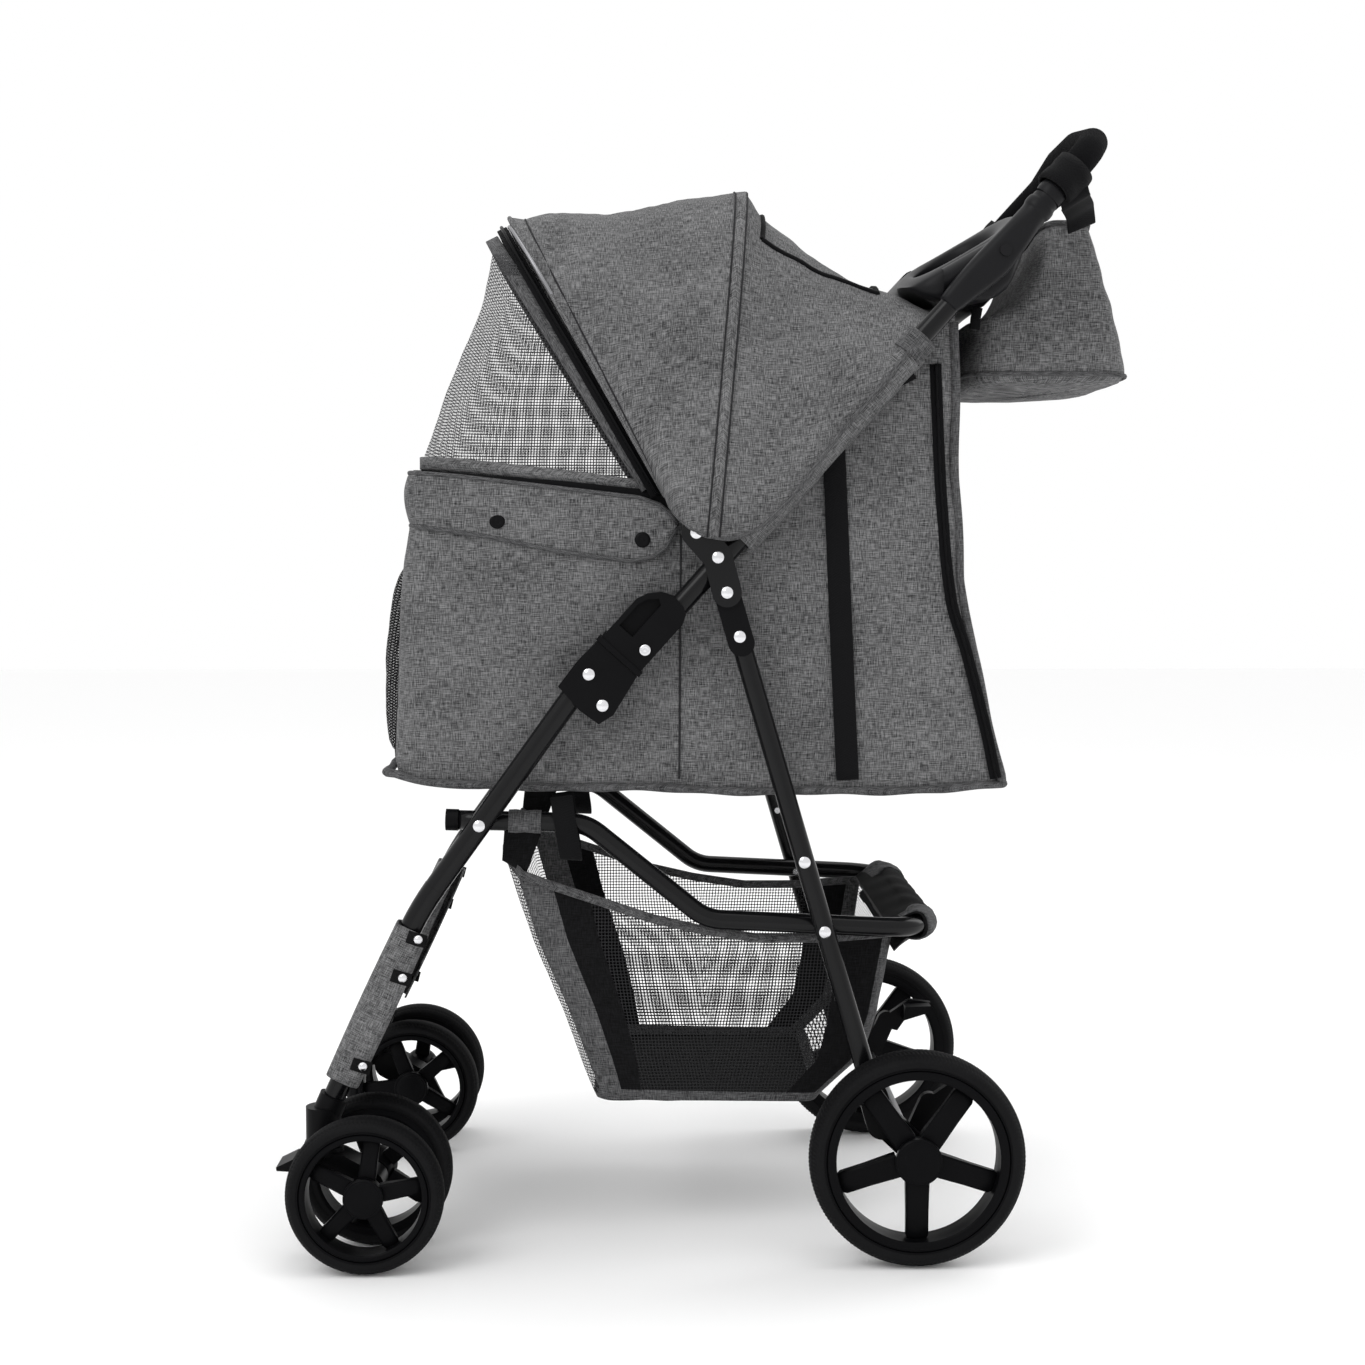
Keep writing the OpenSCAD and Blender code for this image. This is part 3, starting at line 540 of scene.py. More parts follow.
def wheel(name, centre, radius, width, depth, hub_r, cap_r, body, node, out, lean):
    rim_r = radius - depth
    open_r = rim_r - radius * 0.105
    hw = width * 0.42
    ring = [(open_r, -hw), (open_r - 0.3, -hw * 0.4), (open_r - 0.6, 0), (open_r - 0.3, hw * 0.4), (open_r, hw),
            (open_r + 1.2, hw + 1.2), (open_r + 3, hw + 1.6), (rim_r - 2.4, hw + 1.0), (rim_r - 1.6, hw - 0.4),
            (rim_r - 0.9, hw + 0.9), (rim_r + 0.2, hw + 1.0), (rim_r + 0.4, hw - 1.5), (rim_r + 0.4, -hw + 1.5),
            (rim_r + 0.2, -hw - 1.0), (rim_r - 2.4, -hw - 1.0), (open_r + 3, -hw - 1.6), (open_r + 1.2, -hw - 1.2),
            (open_r, -hw)]
    parts = [lathe(name + "_ring", ring, centre, WHEEL, 96, out=out)]
    hub = [(4.1, -hw), (hub_r - 1, -hw - 1), (hub_r, -hw), (hub_r + 1.5, 0), (cap_r - 1, hw * 0.5), (cap_r, hw * 0.9),
           (cap_r, hw + 2.6), (cap_r - 1.2, hw + 3.6), (cap_r - 2.2, hw + 3.2), (cap_r - 2.8, hw + 3.6),
           (cap_r * 0.6, hw + 4.4), (0.01, hw + 4.7)]
    parts.append(lathe(name + "_hub", hub, centre, WHEEL, 64, out=out))
    w = radius * 0.105
    for k in range(5):
        a = lean + k * 2 * math.pi / 5
        ca, sa = math.cos(a), math.sin(a)
        rows = []
        for r, ww, h0, h1 in ((cap_r - 3, w * 1.05, -hw * 0.3, hw * 0.55), (cap_r + 2, w * 1.05, -hw * 0.3, hw * 0.55),
                              (lerp(cap_r, open_r, 0.5), w, -hw * 0.25, hw * 0.45),
                              (open_r - 4, w * 1.0, -hw * 0.25, hw * 0.42), (open_r - 1, w * 0.86, -hw * 0.2, hw * 0.3),
                              (open_r + 2, w * 0.8, -hw * 0.2, hw * 0.2)):
            c = 1.6
            outline = [(-ww, h0 + c), (-ww, h1 - c), (-ww + c, h1), (0, h1 + 0.3), (ww - c, h1), (ww, h1 - c),
                       (ww, h0 + c), (ww - c, h0), (-ww + c, h0)]
            rows.append([V(centre[0] + ca * r - sa * x, centre[1] + out * h, centre[2] + sa * r + ca * x)
                         for x, h in outline])
        parts.append(grid(name + "_spoke", rows, WHEEL, wrap=True))
    ob = outward(joined(name, parts))
    for p in ob.data.polygons:
        p.use_smooth = True
    ob.modifiers.new("split", "EDGE_SPLIT").split_angle = math.radians(38)
    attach(ob, body)
    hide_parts(node)
    return ob


REAR_AXLE, FRONT_AXLE = (174.8, 92.5), (-293.0, 67.0)
for s, side in SIDES:
    c = (REAR_AXLE[0], s * 205.5, REAR_AXLE[1])
    tyre(f"rear_tyre_{side}", c, 92.5, 32, 13, f"rear_wheel_{side}", f"tyre_rear_{side}")
    wheel(f"rear_rim_{side}", c, 92.5, 32, 13, 15, 20, f"rear_wheel_{side}", f"wheel_rear_{side}", s,
          math.radians(-90))
    for where, off, lean in (("outer", 38, 82), ("inner", -38, 40)):
        c = (FRONT_AXLE[0], s * (LEG_Y + off), FRONT_AXLE[1])
        body = f"{where}_wheel_{side}"
        tyre(f"{where}_tyre_{side}", c, 67, 28, 11, body, f"tyre_{where}_{side}")
        wheel(f"{where}_rim_{side}", c, 67, 28, 11, 12, 17, body, f"wheel_{where}_{side}",
              s if off > 0 else -s, math.radians(lean))

# ---------- basket rail: one smooth bent tube ----------
rail_path = [(-217, 377.3), (-108, 374.5), (-4, 290.5), (188, 281)]
route = [V(x, -162, z) for x, z in rail_path] + [V(x, 162, z) for x, z in rail_path[::-1]]
rail = tube("rail_tube", bends(route, 42), 8.5, TUBE, 28)
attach(rail, "rails")
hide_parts("basket_rail")

# ---------- grip ----------
foot = on_handle(458, 1)
half_grip = [V(foot[0], -LEG_Y, foot[1]), V(316, -174.5, 942), V(334, -118, 963), V(335.5, -40, 975)]
path = bends(half_grip + [V(p.x, -p.y, p.z) for p in half_grip[::-1]], 42, 4)


def grip_r(t):
    return 12.9 - 0.8 * math.exp(-min(t, 1 - t) * 60)


grip = tube("grip", path, grip_r, FOAM, 28)
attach(grip, "handle")
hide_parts("grip_foam")


# ---------- tray and its arms ----------
def rim_z(x, y):
    return 857 + 0.577 * (x - 213) + 0.2 * (168 - max(abs(y), 76))


def tray_low(x, y):
    return table([(168, 836), (178, 827), (193, 822.5), (240, 822), (256, 834), (270, 866)], x)


parts = []
for s, side in SIDES:
    rows = []
    for kind, f in (("well", 0.0), ("well", 0.6), ("well", 0.93), ("wall", 0.05), ("wall", 0.5), ("wall", 0.9),
                    ("lip", 0.0), ("lip", 0.35), ("lip", 0.7), ("lip", 1.0), ("out", 0.12), ("out", 0.5), ("out", 0.85),
                    ("base", 0.95), ("base", 0.6), ("base", 0.0)):
        row = []
        for k in range(96):
            a = 2 * math.pi * k / 96
            c, q = math.cos(a), math.sin(a)
            cup = V(214 + 34.5 * c, s * 112 + 34.5 * q, 0)
            e = 2 / 3.4
            ex = 52 * math.copysign(abs(c) ** e, c)
            ey = 56 * math.copysign(abs(q) ** e, q)
            edge = V(220 + ex, s * 112 + ey, 0)
            if kind == "well":
                x, y, z = lerp(214, cup.x, f), lerp(s * 112, cup.y, f), 830
            elif kind == "wall":
                x, y, z = cup.x, cup.y, lerp(830, rim_z(cup.x, cup.y) - 3, f)
            elif kind == "lip":
                x, y = lerp(cup.x, edge.x, f), lerp(cup.y, edge.y, f)
                z = rim_z(x, y) - 3 + 4.5 * math.sin(math.pi * (0.12 + 0.76 * f))
            elif kind == "out":
                top, low = rim_z(edge.x, edge.y) - 2, tray_low(edge.x, edge.y)
                x = edge.x + 2.5 * math.sin(math.pi * f) * c
                y, z = edge.y + 2.5 * math.sin(math.pi * f) * q, lerp(top, low, f)
            else:
                x, y = lerp(214, edge.x, f), lerp(s * 112, edge.y, f)
                z = tray_low(x, y) - 1.0 * f
            row.append(V(min(x, 274), y, z))
        rows.append(row)
    parts.append(grid(f"tray_cup_{side}", rows, GREY_PLASTIC, wrap=True))
rows = []
for i in range(25):
    y = lerp(-66, 66, i / 24)
    u = abs(y) / 66
    rim = [(172, 0), (178, 3), (186, 1), (190, -8)]
    row = [V(x, y, rim_z(x, 76) + dz) for x, dz in rim]
    row += [V(192, y, 836), V(200, y, 831), V(232, y, 831), V(240, y, 838)]
    row += [V(x, y, rim_z(x, 76) + dz) for x, dz in ((246, -8), (250, 0), (258, 3), (266, -2))]
    row += [V(270, y, 876), V(266, y, 852), V(254, y, 832), V(240, y, 822), V(193, y, 822.5), V(178, y, 827),
            V(169, y, 838)]
    rows.append(row)
parts.append(grid("tray_middle", rows, GREY_PLASTIC, wrap=True))
tray = joined("tray_moulding", parts)
tray.modifiers.new("soft", "SUBSURF").levels = 1
tray.modifiers["soft"].render_levels = 1
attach(tray, "handle")
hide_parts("tray")

for s, side in SIDES:
    rows = []
    for a, mid, half, deep in ((337, -1, 7, 8), (338, -1, 9, 10.5), (344, -0.5, 10.5, 12), (356, 0, 12, 12.5),
                               (372, 1.5, 14, 12.8), (390, 3.5, 15.5, 12.8), (408, 2.8, 14, 12.6), (424, 2.0, 12.6, 12.4),
                               (438, 1.2, 11.6, 11.8), (444, 1, 11.4, 11.6), (445, 1, 12.8, 12.6), (449, 1, 13.2, 13),
                               (453, 1, 12.8, 12.6), (454, 1, 11.6, 11.8), (460, 1, 11.6, 11.8), (461, 1, 12.8, 12.6),
                               (467, 1, 13, 12.8), (469.5, 1, 12.4, 12.2), (470, 1, 11, 11)):
        row = []
        for k in range(40):
            t = 2 * math.pi * k / 40
            round_ = 0.62 if a < 430 else 1.0
            c = math.copysign(abs(math.cos(t)) ** round_, math.cos(t))
            q = math.copysign(abs(math.sin(t)) ** round_, math.sin(t))
            x, z = on_handle(a, mid + half * c)
            row.append(V(x, s * (LEG_Y + deep * q), z))
        rows.append(row)
    c0, c1 = on_handle(337, -1), on_handle(470, 1)
    rows = [[V(c0[0], s * LEG_Y, c0[1])] * 40] + rows + [[V(c1[0], s * LEG_Y, c1[1])] * 40]
    arm = grid(f"arm_{side}", rows, GREY_PLASTIC, wrap=True)
    arm.modifiers.new("soft", "SUBSURF").levels = 1
    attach(arm, "handle")
    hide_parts(f"tray_arm_{side}")
    # web that runs from the arm into the tray
    rows = []
    for i in range(15):
        x = lerp(196, 262, i / 14)
        rows.append([V(x, s * y, z) for y, z in ((150, rim_z(x, 150) - 1), (164, rim_z(x, 164)), (174, rim_z(x, 170) - 1),
                                                 (180, rim_z(x, 170) - 7), (178, rim_z(x, 170) - 18),
                                                 (166, max(rim_z(x, 160) - 26, 823)), (150, max(rim_z(x, 150) - 28, 823)))])
    web = grid(f"arm_web_{side}", rows, GREY_PLASTIC, wrap=True)
    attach(web, "handle")

# ---------- cabin ----------
CABIN_Y = 157.0
FRONT_X = [(404, -262), (411, -268), (430, -272), (500, -268.5), (601, -262), (627, -258), (672, -256), (700, -256)]
REAR_X = [(400, 255), (415, 254), (462, 242), (523, 228), (584, 217), (670, 212), (812, 210.5)]
BASE_Z = [(-285, 413), (-262, 410), (-199, 405), (47, 400), (200, 401), (256, 404)]
TOP_Z = [(-260, 672), (-129, 660), (-61, 652), (-30, 642), (0, 652), (33, 684), (119, 764), (176, 804), (212, 811)]


def wall(t, z):
    """A point of the cabin's plan at height z. t runs 0..1 round it from the middle of the front."""
    xf, xr = table(FRONT_X, z), table(REAR_X, z)
    r = 16.0
    straight = (CABIN_Y - r, (xr - xf) - 2 * r)
    arc = math.pi * r / 2
    total = 2 * (2 * straight[0] + straight[1] + 2 * arc)
    s = t * total
    mirror = s > total / 2
    if mirror:
        s = total - s
    if s < straight[0]:
        x, y = xf, -s
    elif s < straight[0] + arc:
        a = (s - straight[0]) / r
        x, y = xf + r - r * math.cos(a), -(CABIN_Y - r) - r * math.sin(a)
    elif s < straight[0] + arc + straight[1]:
        x, y = xf + r + (s - straight[0] - arc), -CABIN_Y
    elif s < straight[0] + 2 * arc + straight[1]:
        a = (s - straight[0] - arc - straight[1]) / r
        x, y = xr - r + r * math.sin(a), -CABIN_Y + r - r * math.cos(a)
    else:
        x, y = xr, -(CABIN_Y - r) + (s - straight[0] - 2 * arc - straight[1])
    return (x, -y) if mirror else (x, y)


def cabin_point(t, v, push=0.0):
    z = 540.0
    for _ in range(3):
        x, y = wall(t, z)
        lo, hi = table(BASE_Z, x), table(TOP_Z, x)
        z = lerp(lo, hi, v)
    x, y = wall(t, z)
    # outward direction in plan
    x2, y2 = wall((t + 0.002) % 1, z)
    n = Vector((y - y2, x2 - x, 0))
    n = n.normalized() * (1 if n.dot(Vector((x + 20, y, 0))) > 0 else -1)
    belly = math.sin(math.pi * min(max(v, 0), 1)) ** 0.7
    crease = 1.8 * fbm(x, y, z, 90, 1) + 1.3 * fbm(x * 0.5, y * 0.5, z, 42, 2) + 0.7 * fbm(x, y, z * 0.4, 24, 3)
    folds = 0.0
    if abs(y) > 140:
        # pull lines from the pins and the hem
        folds += 1.6 * math.sin((x * 0.8 - z) / 17) * math.exp(-((x - 60) / 80) ** 2) * math.exp(-((z - 560) / 90) ** 2)
        folds -= 2.2 * math.exp(-((x + 26) / 3.0) ** 2) * (1 if x < 60 else 0)
        folds += 1.5 * math.sin(z / 21 + x / 60) * math.exp(-((x - 190) / 40) ** 2)
    lowrim = 1.6 * math.sin(x / 23) * math.exp(-(v / 0.08) ** 2)
    amount = (2.6 * belly + crease * (0.35 + 0.65 * belly) + folds * belly + lowrim) * 0.9 + push
    return V(x, y, z) + n * amount


rings, columns = 64, 360
rows = []
for i in range(rings + 1):
    v = i / rings
    rows.append([cabin_point(j / columns, v) for j in range(columns)])
# the floor of the cabin, closed under its board
bottom = []
for f, drop in ((0.0, 2.0), (0.35, 2.6), (0.75, 3.0), (0.97, 0.5)):
    bottom.append([V(lerp(0, p.x + 10, f) - 10 * f + (1 - f) * -10, lerp(0, p.y, f), table(BASE_Z, p.x * f)
            + 1.5 - drop + 0.8 * fbm(p.x * f, p.y * f, 0, 60, 4))
                   for p in rows[0]])
rows = bottom + rows
cabin = grid("cabin_cloth", rows, GREY, wrap=True, thick=2.4, side=-1, uv=box_uv(-20, 157))


def dress(ob, body, slot, *nodes, squash=False):
    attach(ob, body)
    if squash:
        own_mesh(ob)
    if nodes:
        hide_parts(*nodes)
    return ob


dress(cabin, "handle", "grey_cloth", "cabin_shell", squash=True)

# rolled hem round the foot of the cabin
hem = []
for j in range(columns + 1):
    p = cabin_point(j / columns % 1, 0.0, 2.0)
    front = math.exp(-((p.x + 272) / 18) ** 2)
    hem.append(p + V(-9 * front * (1 if abs(p.y) < 150 else 0.5), 0, 1.5 + 6 * front
            + 1.4 * math.sin(j / 7.0) * math.sin(j / 17.0)))
ob = tube("cabin_hem", hem, lambda t: 4.4 + 0.7 * math.sin(t * 170), TRIM, 12, 0.8, caps=False)
dress(ob, "handle", "grey_cloth", squash=True)

# rear corner piping and zips
for s, side in SIDES:
    line = [V(table(REAR_X, z) - 1.5, s * (CABIN_Y - 4), z) for z in range(408, 806, 6)]
    line = [p + V(0.8 * math.sin(p.z / 19), 0, 0) for p in line]
    dress(tube(f"rear_piping_{side}", line, 4.2, TRIM, 12), "handle", "grey_cloth", squash=True)
    zp = [(0, 192, 768), (0.32, 198, 652), (0.56, 207, 566), (0.68, 220, 523), (0.86, 238, 454), (1, 247, 412)]
    line = [curve(zp, k / 60) for k in range(61)]
    line = [V(x, s * (CABIN_Y + 2.4 + 1.5 * math.sin(math.pi * k / 60)), z) for k, (x, z) in enumerate(line)]
    dress(band(f"zip_tape_{side}", line, V(1, 0, 0.15), 10, 1.8, ZIP), "handle", "black_webbing",
          *(["cabin_zip"] if s < 0 else []), squash=True)
    teeth = [p + V(0, s * 1.3, 0) for p in line]
    dress(tube(f"zip_teeth_{side}", teeth, lambda t: 1.3 + 0.5 * math.sin(t * 900), PLASTIC, 8), "handle",
          "black_webbing", squash=True)
    web = [(0, 103, 742), (0.3, 108, 635), (0.7, 113, 520), (1, 118.5, 411)]
    line = [curve(web, k / 50) for k in range(51)]
    line = [V(x, s * (CABIN_Y + 3.2 + 2.2 * math.sin(math.pi * k / 50) + 0.8 * math.sin(k / 5)), z)
            for k, (x, z) in enumerate(line)]
    dress(band(f"side_strap_{side}", line, V(1, 0, 0.06), 19.5, 1.6, WEB), "handle", "black_webbing",
          *(["cabin_straps"] if s < 0 else []), squash=True)

# side seam: the groove is in the cloth's shape; the near-black line drawn along it is painted shade
for s, side in SIDES:
    line = [V(-25.5 - 1.5 * k / 40, s * (CABIN_Y + 0.3 + 2.0 * math.sin(math.pi * k / 40)), lerp(622, 412,
            k / 40)) for k in range(41)]
    dress(tube(f"side_seam_{side}", line, 0.9, SEAM_SHADE, 8), "handle", "grey_cloth", squash=True)

# ---------- front flap ----------
FLAP_TOP = [(-262, 676), (-214, 672), (-129, 662), (-61, 654), (-44, 648), (-34, 640), (-29, 631)]
FLAP_LOW = [(-262, 631), (-197, 622), (-129, 608), (-69, 600), (-50, 603), (-38, 612), (-29, 630)]


def front_u(xr, xf, half, r, n_side, n_arc, n_front):
    """Plan of a band from the near side round the front to the far side."""
    out = [(lerp(xr, xf + r, k / n_side), -half) for k in range(n_side)]
    for k in range(n_arc):
        a = math.pi / 2 * k / n_arc
        out.append((xf + r - r * math.sin(a), -half + r - r * math.cos(a)))
    out += [(xf, lerp(-half + r, half - r, k / n_front)) for k in range(n_front)]
    for k in range(n_arc):
        a = math.pi / 2 * k / n_arc
        out.append((xf + r - r * math.cos(a), half - r + r * math.sin(a)))
    out += [(lerp(xf + r, xr, k / n_side), half) for k in range(n_side + 1)]
    return out


rows = []
for i in range(15):
    v = i / 14
    row = []
    for x, y in front_u(-29, -258.5, CABIN_Y + 2.5, 20, 70, 10, 60):
        z = lerp(table(FLAP_TOP, x), table(FLAP_LOW, x), v)
        puff = 1.5 + 4.0 * math.sin(math.pi * v) ** 0.6 + 1.1 * fbm(x, y, z, 30, 5) + 1.2 * math.sin(x / 15 + v * 4) * v
        n = V(0, math.copysign(1, y), 0) if x > -236 else (V(x + 238, y - math.copysign(139, y),
                0).normalized() if abs(y) > 139.5 else V(-1, 0, 0))
        row.append(V(x, y, z) + n * puff)
    rows.append(row)
flap = grid("front_flap_cloth", rows, GREY, thick=2.2, side=-1, uv=box_uv(100, 160))
declare(flap, rows, "hung", "cabin_shell")
dress(flap, "handle", "grey_cloth", "front_flap")
# stitched edge of the flap
for nm, tab in (("low", FLAP_LOW), ("top", FLAP_TOP)):
    line = [rows[-1 if nm == "low" else 0][j] for j in range(len(rows[0]))]
    dress(tube(f"flap_edge_{nm}", line, 1.9, TRIM, 8), "handle", "grey_cloth")


def snap(name, at, normal, r, mat, body, slot, *nodes):
    n = normal.normalized()
    a = n.orthogonal().normalized()
    b = n.cross(a)
    prof = [(r * 1.0, 0.0), (r * 1.02, 0.6), (r * 0.9, 1.3), (r * 0.62, 1.9), (r * 0.5, 1.6), (r * 0.3, 1.5), (0.01, 2.1)]
    rows_ = [[at + n * h + (a * math.cos(t) + b * math.sin(t)) * q for t in
              [2 * math.pi * k / 24 for k in range(24)]] for q, h in prof]
    ob = grid(name, rows_, mat, wrap=True)
    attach(ob, body)
    if nodes:
        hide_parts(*nodes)
    return ob


first = True
for s, side in SIDES:
    for k, (x, z) in enumerate(((-182.5, 634), (-58.5, 618))):
        snap(f"flap_snap_{side}_{k}", V(x, s * (CABIN_Y + 7.2), z), V(0, s, 0.1), 6.6, PLASTIC, "handle",
             "black_plastic", *(["flap_snaps"] if first else []))
        first = False

# ---------- mesh window ----------
WIN_X = [(655, -254), (682, -252), (748, -233), (806, -209), (831, -199), (866, -187.5), (900, -180)]
HEM_X = [(650, -40), (662, -50), (737, -86), (812, -134), (868, -178), (880, -183)]


def win_base(x):
    return table([(-256, 681), (-214, 678), (-129, 669), (-61, 660), (-30, 654)], x)


rows = []
n_rows = 44
for i in range(n_rows + 1):
    v = i / n_rows
    row = []
    for k in range(len(front_u(0, -1, 1, 0.1, 44, 8, 40))):
        z = lerp(668, 864, v)
        for _ in range(2):
            pts = front_u(table(HEM_X, z), table(WIN_X, z), 153.5 - 17 * v * v,
                          min(lerp(40, 62, v), table(HEM_X, z) - table(WIN_X, z) - 3), 44, 8, 40)
            x, y = pts[k]
            z = lerp(win_base(x), 864, v)
        sag = 2.5 * math.sin(math.pi * v) * (1 if abs(y) < 120 else 0.5)
        crease = 1.6 * fbm(x, y, z, 36, 6) * math.exp(-((x + 235) / 40) ** 2)
        row.append(V(x + (sag + crease if abs(y) < 140 else 0), y - math.copysign(1.5 * math.sin(math.pi * v)
                + 0.6 * fbm(x, y, z, 40, 7), y), z))
    rows.append(row)
window = grid("window_net_sheet", rows, NET, uv=box_uv(0, 154))
declare(window, rows, "stretched", "canopy_front_hoop")
dress(window, "window", "black_mesh", "mesh_window")
# trim round the window: foot, front corners and the zipped edge
foot_line = [rows[0][k] + V(0, math.copysign(1.5, rows[0][k].y), 0) for k in range(len(rows[0]))]
foot_line = [p + V(0, 0, 4) for p in foot_line]
dress(band("window_foot_trim", foot_line, V(0, 0, 1), 11, 2.6, GREY), "window", "grey_cloth")


def canopy_u(e, t, ye, yt, n=4.6, count=61, crown=6.0):
    out = []
    for k in range(count):
        a = math.pi * k / (count - 1)
        ca, sa = math.cos(a), math.sin(a)
        h = abs(sa) ** (2 / n)
        y = -math.copysign(abs(ca) ** (2 / n), ca)
        Y = lerp(ye, yt, h)
        out.append(V(lerp(e[0], t[0], h), y * Y, lerp(e[1], t[1], h) + crown * h ** 6 * (1 - y * y)))
    return out


line = canopy_u((-54, 662), (-193, 884), 160, 152, crown=3)
dress(band("window_edge_trim", line, lambda t: V(1, 0, 0.5), 12, 2.6, TRIM), "window", "grey_cloth")
line = canopy_u((-47, 656), (-184, 892), 163, 155, crown=4)
dress(band("window_zip", line, lambda t: V(1, 0, 0.5), 9.5, 2.0, ZIP), "window", "black_webbing")
line = [p + V(-0.5, 0, 1) for p in canopy_u((-46, 657), (-184, 893), 164.5, 156.5, crown=4)]
dress(tube("window_zip_teeth", line, 1.6, PLASTIC, 8), "window", "black_webbing")
# black tape between the window's foot and the flap
rows = []
for z_off in (0, 1, 2, 3):
    row = []
    for x, y in front_u(-30, -255.5, CABIN_Y + 1.6, 20, 60, 8, 40):
        row.append(V(x, y, table([(-262, 660), (-129, 650), (-30, 640)], x) + z_off * 5.5 + 2))
    rows.append(row)
dress(grid("rim_tape", rows, ZIP, thick=1.4), "handle", "black_webbing")

# ---------- canopy ----------
EDGE = [(0, -38, 655, 171), (0.14, -33, 643, 184), (0.28, -22, 631, 193), (0.42, -7, 622, 196.5), (0.5, 1, 620.5, 197),
        (0.58, 18, 619.5, 197), (0.66, 41, 629, 197), (0.75, 72, 660, 197), (0.84, 108, 708, 196.5),
        (0.92, 138, 742, 196), (1, 168, 779, 194)]
ROOF = [(0, -176, 899), (0.1, -140, 906), (0.3, -72, 912), (0.5, 29, 922), (0.56, 46, 904), (0.7, 86, 876),
        (0.85, 134, 846), (1, 194, 814)]


def canopy_sheet(w0, w1, count, along):
    rows_ = []
    for i in range(count + 1):
        w = lerp(w0, w1, i / count)
        ex, ez, ye = curve(EDGE, w)
        tx, tz = curve(ROOF, w)
        yt = 161 if w <= 0.5 else lerp(161, 166, (w - 0.5) * 2)
        local = (w / 0.5) if w <= 0.5 else (w - 0.5) / 0.5
        sag = math.sin(math.pi * min(1, local))
        pts = canopy_u((ex, ez), (tx, tz), ye, yt, 4.4, along, 7.0)
        mid = Vector((lerp(ex, tx, 0.5), 0, lerp(ez, tz, 0.45)))
        row = []
        for k, p in enumerate(pts):
            out_dir = V(0, math.copysign(1, p.y), 0) if abs(p.y) > 150 else (p - mid).normalized()
            roof = 1 if abs(p.y) < 130 else 0.45
            amount = -7.0 * sag * roof
            amount += 2.4 * fbm(p.x, p.y * 0.6, p.z, 60, 8) + 1.5 * fbm(p.x * 1.4, p.y, p.z * 0.6, 26, 9)
            pucker = math.exp(-((w - 0.05) / 0.09) ** 2)
            amount += 2.0 * pucker * math.sin((p.z * 0.55 - p.x) / 9.0 + 2 * fbm(p.x, p.y, p.z, 40, 10))
            near_tube = math.exp(-((w - 0.93) / 0.12) ** 2)
            amount += 2.2 * near_tube * math.sin((p.x + p.z * 0.4) / 11.0)
            # radiating pulls from the pin
            ang = math.atan2(p.z - 624, p.x + 13)
            amount += 1.5 * math.sin(ang * 17 + 3 * fbm(p.x, 0, p.z, 90, 11)) * (1 - abs(p.y) / 500) * sag
            edge_hold = min(1.0, k / 5, (along - 1 - k) / 5)
            row.append(p + out_dir * amount * (0.25 + 0.75 * edge_hold))
        rows_.append(row)
    return rows_


front_rows = canopy_sheet(0.0, 0.5, 60, 161)
rear_rows = canopy_sheet(0.5, 1.0, 60, 161)
front_sheet = grid("canopy_front_cloth", front_rows, GREY, thick=1.8, side=-1, uv=roof_uv)
rear_sheet = grid("canopy_rear_cloth", rear_rows, GREY, thick=1.8, side=-1, uv=roof_uv)


def bend(ob):
    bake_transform(ob)


declare(front_sheet, front_rows, "stretched", "canopy_front_hoop", "canopy_mid_hoop")
declare(rear_sheet, rear_rows, "stretched", "canopy_mid_hoop")
bend(front_sheet)
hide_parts("canopy_front")
bend(rear_sheet)
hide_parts("canopy_rear")
# seam band over the middle hoop, front hem and lower edge
seam = [p + (p - V(0, 0, 760)).normalized() * 1.6 for p in front_rows[-1]]
dress(band("mid_seam", seam, V(1, 0, 0.1), 9.5, 1.8, GREY), "mid_hoop", "grey_cloth")
# painted shade: near-black lines along both edges of the seam band, where it meets the canopy
for off in (-5.2, 5.2):
    line = [p + V(off, math.copysign(0.6, p.y), 0.3) for p in seam]
    dress(tube(f"mid_seam_shade_line_{'a' if off < 0 else 'b'}", line, 0.9, SEAM_SHADE, 6), "mid_hoop", "grey_cloth")
hem_rows = [[p + (p - V(0, 0, 700)).normalized() * 1.2 for p in row] for row in front_rows[:5]]
ob = grid("front_hem", hem_rows, GREY, thick=1.6, uv=roof_uv)
bend(ob)
# painted shade: a near-black line drawn along the hem's seam
ob = tube("front_hem_seam", [p + (p - V(0, 0, 700)).normalized() * 0.6 for p in hem_rows[4]], 0.9, SEAM_SHADE, 6)
bend(ob)
ob = tube("front_hem_roll", [p + V(-0.6, 0, 0.2) for p in hem_rows[0]], 2.2, GREY, 8)
bend(ob)
for k in (0, -1):
    side = "left" if k == 0 else "right"
    line = [r[k] for r in front_rows]
    ob = tube(f"front_edge_{side}", line, 2.0, TRIM, 8)
    bend(ob)
    line = [r[k] for r in rear_rows]
    ob = tube(f"rear_edge_{side}", line, 2.2, TRIM, 8)
    bend(ob)

# roof window in the rear panel: dark net inside black binding
rows = []
for i in range(8, 47):
    row = rear_rows[i]
    rows.append([row[k] + V(0.5, 0, 1.4) for k in range(47, 114)])
roof_net = grid("roof_net", rows, POCKET_NET, thick=0.6)
bend(roof_net)
loop = [rows[0][k] for k in range(0, 67, 2)] + [r[-1] for r in rows] + [rows[-1][k] for k in range(66, -1,
        -2)] + [r[0] for r in rows[::-1]]
ob = tube("roof_binding", [p + V(0.4, 0, 0.8) for p in loop], 2.4, ZIP, 8, caps=False)
bend(ob)

